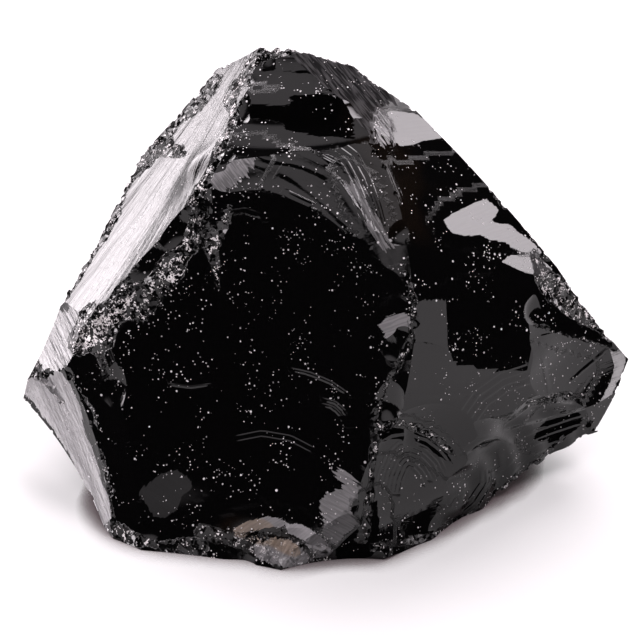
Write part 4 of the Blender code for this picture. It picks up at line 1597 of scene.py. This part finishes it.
def fine_relief(recipe, seen, crushed, frost_and_sheen, dust):
    """The height of all that is finer than the mesh, in millimetres."""
    streaks_here, rings_here, _ = recipe.attributes("grain")
    wobble = (seen.fine - EVEN) * LEDGE_WOBBLE
    big_facet, small_facet = [recipe.facets(seen.place, size) for size in FACET_SIZES]
    return (
        seen.streaks * streaks_here * STREAK_HEIGHT
        + seen.broad_streaks * streaks_here * BROAD_STREAK_HEIGHT
        + seen.rings * rings_here * RING_HEIGHT
        + sum(ledge_height(recipe, f"ledge_{number}", wobble) for number in range(LEDGE_LAYERS))
        + crushed * (big_facet * FACET_LEANS[0] + small_facet * FACET_LEANS[1])
        + (1 - seen.ridge.between(*EDGE_RELIEF)) * seen.streaks * EDGE_HEIGHT
        + frost_and_sheen * FROST_HEIGHT
        + dust * DUST_HEIGHT
    )


def opaque(colour):
    return tuple(colour) + (1,)


def glass_colour(recipe, seen, look, powder_and_sparkle, frost_and_sheen, dust):
    """Black glass, smoky in places, under its powder (with painted sparkle and edge highlights), its
    frost (partly a painted sheen) and dust.
    """
    smoke = seen.smoky * seen.broad.between(*SMOKE_CLOUDS)
    colour = recipe.mix_colour(smoke, opaque(look.black), opaque(look.smoke))
    brown = seen.smoky.between(*TAN_FROM) * (1 - seen.fine * TAN_FINE)
    crushed = recipe.mix_colour(brown, opaque(look.crushed), opaque(look.tan))
    frosted_with_sheen = recipe.mix_colour(brown, opaque(look.frost_and_sheen), opaque(look.tan))
    # Painted sparkle and painted edge highlights take the crushed colour here.
    colour = recipe.mix_colour(powder_and_sparkle, colour, crushed)
    # Painted sheen: the grey frost colour stands in, on some flakes, for bright grazing reflections.
    colour = recipe.mix_colour(frost_and_sheen, colour, frosted_with_sheen)
    return recipe.mix_colour(dust, colour, opaque(look.dust))


def glass(look):
    """Black volcanic glass: polished scars, thin flakes (their frost partly a painted sheen), hackled
    and crushed edges (with painted sparkle and highlights), and dust.
    """
    recipe = Recipe(bpy.data.materials.new("obsidian"))
    seen = Patterns(recipe)
    flake, frost_and_sheen = thin_flakes(recipe, seen)
    crushed = crushed_glass(seen)
    powder_and_sparkle = powder_and_painted_sparkle(recipe, seen, crushed)
    dust = dust_specks(recipe, seen)
    smudge = recipe.noise(seen.place, *SMUDGES).between(*SMUDGED_FROM)
    roughness = (
        look.polish
        + smudge * SMUDGE_ROUGHNESS
        + powder_and_sparkle * POWDER_ROUGHNESS
        + frost_and_sheen * FROST_ROUGHNESS
        + dust * DUST_ROUGHNESS
    )
    height = fine_relief(recipe, seen, crushed, frost_and_sheen, dust)
    facing = recipe.node("ShaderNodeAttribute", {"attribute_name": "facing"}, {}).outputs["Vector"]
    plain = recipe.node("ShaderNodeNewGeometry", {}, {}).outputs["Normal"]
    normal = recipe.mix_vector(flake, plain, facing)
    normal = recipe.mix_vector(dust * DUST_TURN, normal, direction(*DUST_FACING))
    values = {"Height": height, "Distance": MM, "Strength": 1.0, "Normal": normal}
    bump = recipe.node("ShaderNodeBump", {}, values)
    sockets = recipe.shader.inputs
    recipe.plug(sockets["Base Color"], glass_colour(recipe, seen, look, powder_and_sparkle, frost_and_sheen, dust))
    recipe.plug(sockets["Roughness"], roughness)
    recipe.plug(sockets["Normal"], bump.outputs["Normal"])
    sockets["IOR"].default_value = GLASS_IOR
    sockets["Specular IOR Level"].default_value = GLASS_SPECULAR
    return recipe.home


# The stage


def soft_light(recipe, way, name, brightness):
    """How bright one soft light is, seen from the chunk in each direction."""
    azimuth, elevation, width, edge = LIGHTS[name]
    towards = recipe.along(way, direction(azimuth, elevation))
    radius, fade = math.radians(width / 2), math.radians(edge / 2)
    rim = towards.between(math.cos(radius + fade), math.cos(radius - fade))
    middle = towards.between(math.cos(radius + fade), 1)
    return rim * (middle * FALL_OFF + (1 - FALL_OFF)) * brightness


def light_studio(studio):
    """A world of soft lights round the chunk, which the camera itself sees as plain white."""
    recipe = Recipe(bpy.data.worlds.new("studio"))
    way = recipe.node("ShaderNodeTexCoord", {}, {}).outputs["Generated"]
    lights = [soft_light(recipe, way, name, getattr(studio, name)) for name in LIGHTS]
    light = sum(lights, DARKNESS)
    seen = recipe.wire(recipe.node("ShaderNodeLightPath", {}, {}), "Is Camera Ray")
    background = recipe.tree.nodes["Background"].inputs
    recipe.plug(background["Strength"], seen.either(light * (1 - seen)))
    recipe.plug(background["Color"], recipe.mix_colour(seen, opaque(LIGHT_TINT), WHITE))
    bpy.context.scene.world = recipe.home


def floor_with_painted_shadow(studio):
    """The floor's matt paint, with a shadow painted into its colour and its glow where the stone stands
    closely over it.
    """
    recipe = Recipe(bpy.data.materials.new("pale_floor"))
    reach = {"Distance": studio.shade_reach}
    nearby = recipe.node("ShaderNodeAmbientOcclusion", {"samples": SHADE_SAMPLES}, reach)
    clear = recipe.wire(nearby, "AO").between(*FLOOR_CLEAR)
    # Painted shadow: the floor's colour and glow turn to this dark tint where little open sky is seen.
    shade = opaque(studio.floor_painted_shadow)
    sockets = recipe.shader.inputs
    recipe.plug(sockets["Base Color"], recipe.mix_colour(clear, shade, opaque(studio.floor)))
    recipe.plug(sockets["Emission Color"], recipe.mix_colour(clear, shade, WHITE))
    sockets["Roughness"].default_value = FLOOR_ROUGHNESS
    sockets["Specular IOR Level"].default_value = 0.0
    sockets["Emission Strength"].default_value = studio.floor_glow
    return recipe.home


def lay_floor(studio):
    bpy.ops.object.select_all(action="DESELECT")
    bpy.ops.mesh.primitive_plane_add(size=FLOOR_SIZE, location=(0, 0, -FLOOR_GAP))
    floor = bpy.context.object
    floor.name = "studio_floor"
    floor.data.materials.append(floor_with_painted_shadow(studio))
    floor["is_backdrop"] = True


def set_camera(studio):
    """A camera that looks squarely at the great front break."""
    target = Vector((CENTRE_SHIFT[0], CENTRE_SHIFT[1], REST_DEPTH))
    away = Vector((0, -math.cos(FACE_LEAN), math.sin(FACE_LEAN)))
    distance = studio.lens / SENSOR * VIEW_WIDTH
    bpy.ops.object.camera_add(location=target + away * distance)
    camera = bpy.context.object
    camera.rotation_euler = away.to_track_quat("Z", "Y").to_euler()
    camera.data.lens = studio.lens
    camera.data.sensor_width = SENSOR
    bpy.context.scene.camera = camera


# What a user may change


def length_property(name, description, millimetres):
    return FloatProperty(
        name=name,
        description=description,
        default=millimetres * MM,
        subtype="DISTANCE",
        unit="LENGTH",
        precision=5,
    )


def colour_property(name, description, default):
    return FloatVectorProperty(name=name, description=description, default=default, subtype="COLOR")


def light_property(name, default):
    return FloatProperty(name=name, description="Brightness of the light there", default=default)


class KnappingSizes(bpy.types.PropertyGroup):
    """How finely the chunk is knapped, and its small chips"""

    front_step: length_property(
        "Front grid", "Distance between the points of the scars that face the front", 0.8
    )
    back_step: length_property(
        "Back grid", "Distance between the points of the scars at the back and underneath", 1.4
    )
    small_chips: IntProperty(
        name="Small chips", description="How many chips are broken out of the ridges", default=460
    )
    chip_radius: length_property("Chip radius", "Usual radius of a small chip", 0.9)
    seed: IntProperty(name="Seed", description="Another number scatters the chips anew", default=7)


class GlassLook(bpy.types.PropertyGroup):
    """Colours and polish of the glass"""

    black: colour_property("Black", "The glass itself", (0.0016, 0.0015, 0.0016))
    smoke: colour_property("Smoke", "Smoky glass", (0.007, 0.0045, 0.003))
    # The colour of crushed powder, also used for the painted sparkle on crushed glass and the painted
    # highlights along the ridges.
    crushed: colour_property("Crushed", "Crushed glass", (0.92, 0.88, 0.88))
    tan: colour_property("Tan", "Crushed glass that is smoky", (0.40, 0.30, 0.22))
    # Grey frost of the flakes: partly real frost, partly a painted sheen for bright grazing reflections.
    frost_and_sheen: colour_property("Frost", "Frosted flakes", (0.36, 0.35, 0.36))
    dust: colour_property("Dust", "Specks of dust", (0.95, 0.92, 0.93))
    polish: FloatProperty(
        name="Polish", description="Roughness of a clean scar", default=0.04, min=0, max=1
    )


class StudioSetup(bpy.types.PropertyGroup):
    """The floor, the lights and the camera"""

    floor: colour_property("Floor", "The pale floor", (0.70, 0.70, 0.70))
    floor_glow: FloatProperty(
        name="Floor glow", description="How much the floor shines by itself", default=0.20
    )
    # The colour of the shadow painted on the floor right beside the stone, and how far that painted
    # shadow reaches.
    floor_painted_shadow: colour_property("Floor shade", "The floor right beside the stone", (0.12, 0.095, 0.10))
    shade_reach: length_property("Shade reach", "How far the stone dulls the floor", 4.0)
    overhead: light_property("Overhead", 1.35)
    back_left: light_property("Back left", 13.0)
    left: light_property("Left", 11.0)
    back_right: light_property("Back right", 9.5)
    right: light_property("Right", 13.0)
    low_right: light_property("Low right", 2.2)
    lens: FloatProperty(
        name="Lens", description="Focal length", default=200.0, subtype="DISTANCE_CAMERA"
    )


class OBSIDIAN_OT_knap_chunk(bpy.types.Operator):
    """Knaps the chunk out of its stock, chips its ridges and gives it its glass"""

    bl_idname = "obsidian.knap_chunk"
    bl_label = "Knap chunk"

    def execute(self, context):
        sizes = context.scene.obsidian_sizes
        body = knap(sizes)
        crush_ridges(body, sizes)
        cut_rest_face(body)
        drop_crumbs(body)
        set_creases(body)
        for mark in (mark_ridges, mark_flakes, mark_ledges, mark_grain):
            mark(body.data)
        body.data.materials.clear()
        body.data.materials.append(glass(context.scene.obsidian_glass))
        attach(body, "root")
        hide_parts(NODE)
        return {"FINISHED"}


class OBSIDIAN_OT_set_stage(bpy.types.Operator):
    """Lays the pale floor and sets the lights and the camera"""

    bl_idname = "obsidian.set_stage"
    bl_label = "Set stage"

    def execute(self, context):
        studio = context.scene.obsidian_studio
        lay_floor(studio)
        light_studio(studio)
        set_camera(studio)
        context.scene.view_settings.view_transform = "Standard"
        return {"FINISHED"}


class OBSIDIAN_PT_chunk(bpy.types.Panel):
    """Sizes and looks of the obsidian chunk"""

    bl_label = "Obsidian chunk"
    bl_space_type = "VIEW_3D"
    bl_region_type = "UI"
    bl_category = "Obsidian"

    def draw(self, context):
        scene = context.scene
        for group in (scene.obsidian_sizes, scene.obsidian_glass, scene.obsidian_studio):
            box = self.layout.box()
            for name in group.bl_rna.properties.keys():
                if name not in ("rna_type", "name"):
                    box.prop(group, name)
        self.layout.operator(OBSIDIAN_OT_knap_chunk.bl_idname)
        self.layout.operator(OBSIDIAN_OT_set_stage.bl_idname)


CLASSES = (
    KnappingSizes,
    GlassLook,
    StudioSetup,
    OBSIDIAN_OT_knap_chunk,
    OBSIDIAN_OT_set_stage,
    OBSIDIAN_PT_chunk,
)


def register():
    for item in CLASSES:
        bpy.utils.register_class(item)
    bpy.types.Scene.obsidian_sizes = PointerProperty(type=KnappingSizes)
    bpy.types.Scene.obsidian_glass = PointerProperty(type=GlassLook)
    bpy.types.Scene.obsidian_studio = PointerProperty(type=StudioSetup)


def unregister():
    del bpy.types.Scene.obsidian_studio
    del bpy.types.Scene.obsidian_glass
    del bpy.types.Scene.obsidian_sizes
    for item in reversed(CLASSES):
        bpy.utils.unregister_class(item)


def main():
    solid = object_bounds()
    register()
    bpy.ops.obsidian.knap_chunk()
    bpy.ops.obsidian.set_stage()
    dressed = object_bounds()
    boxes = {"cad": solid, "visual": dressed}
    {name: [list(corner) for corner in box] for name, box in boxes.items()}


if __name__ == "__main__":
    main()
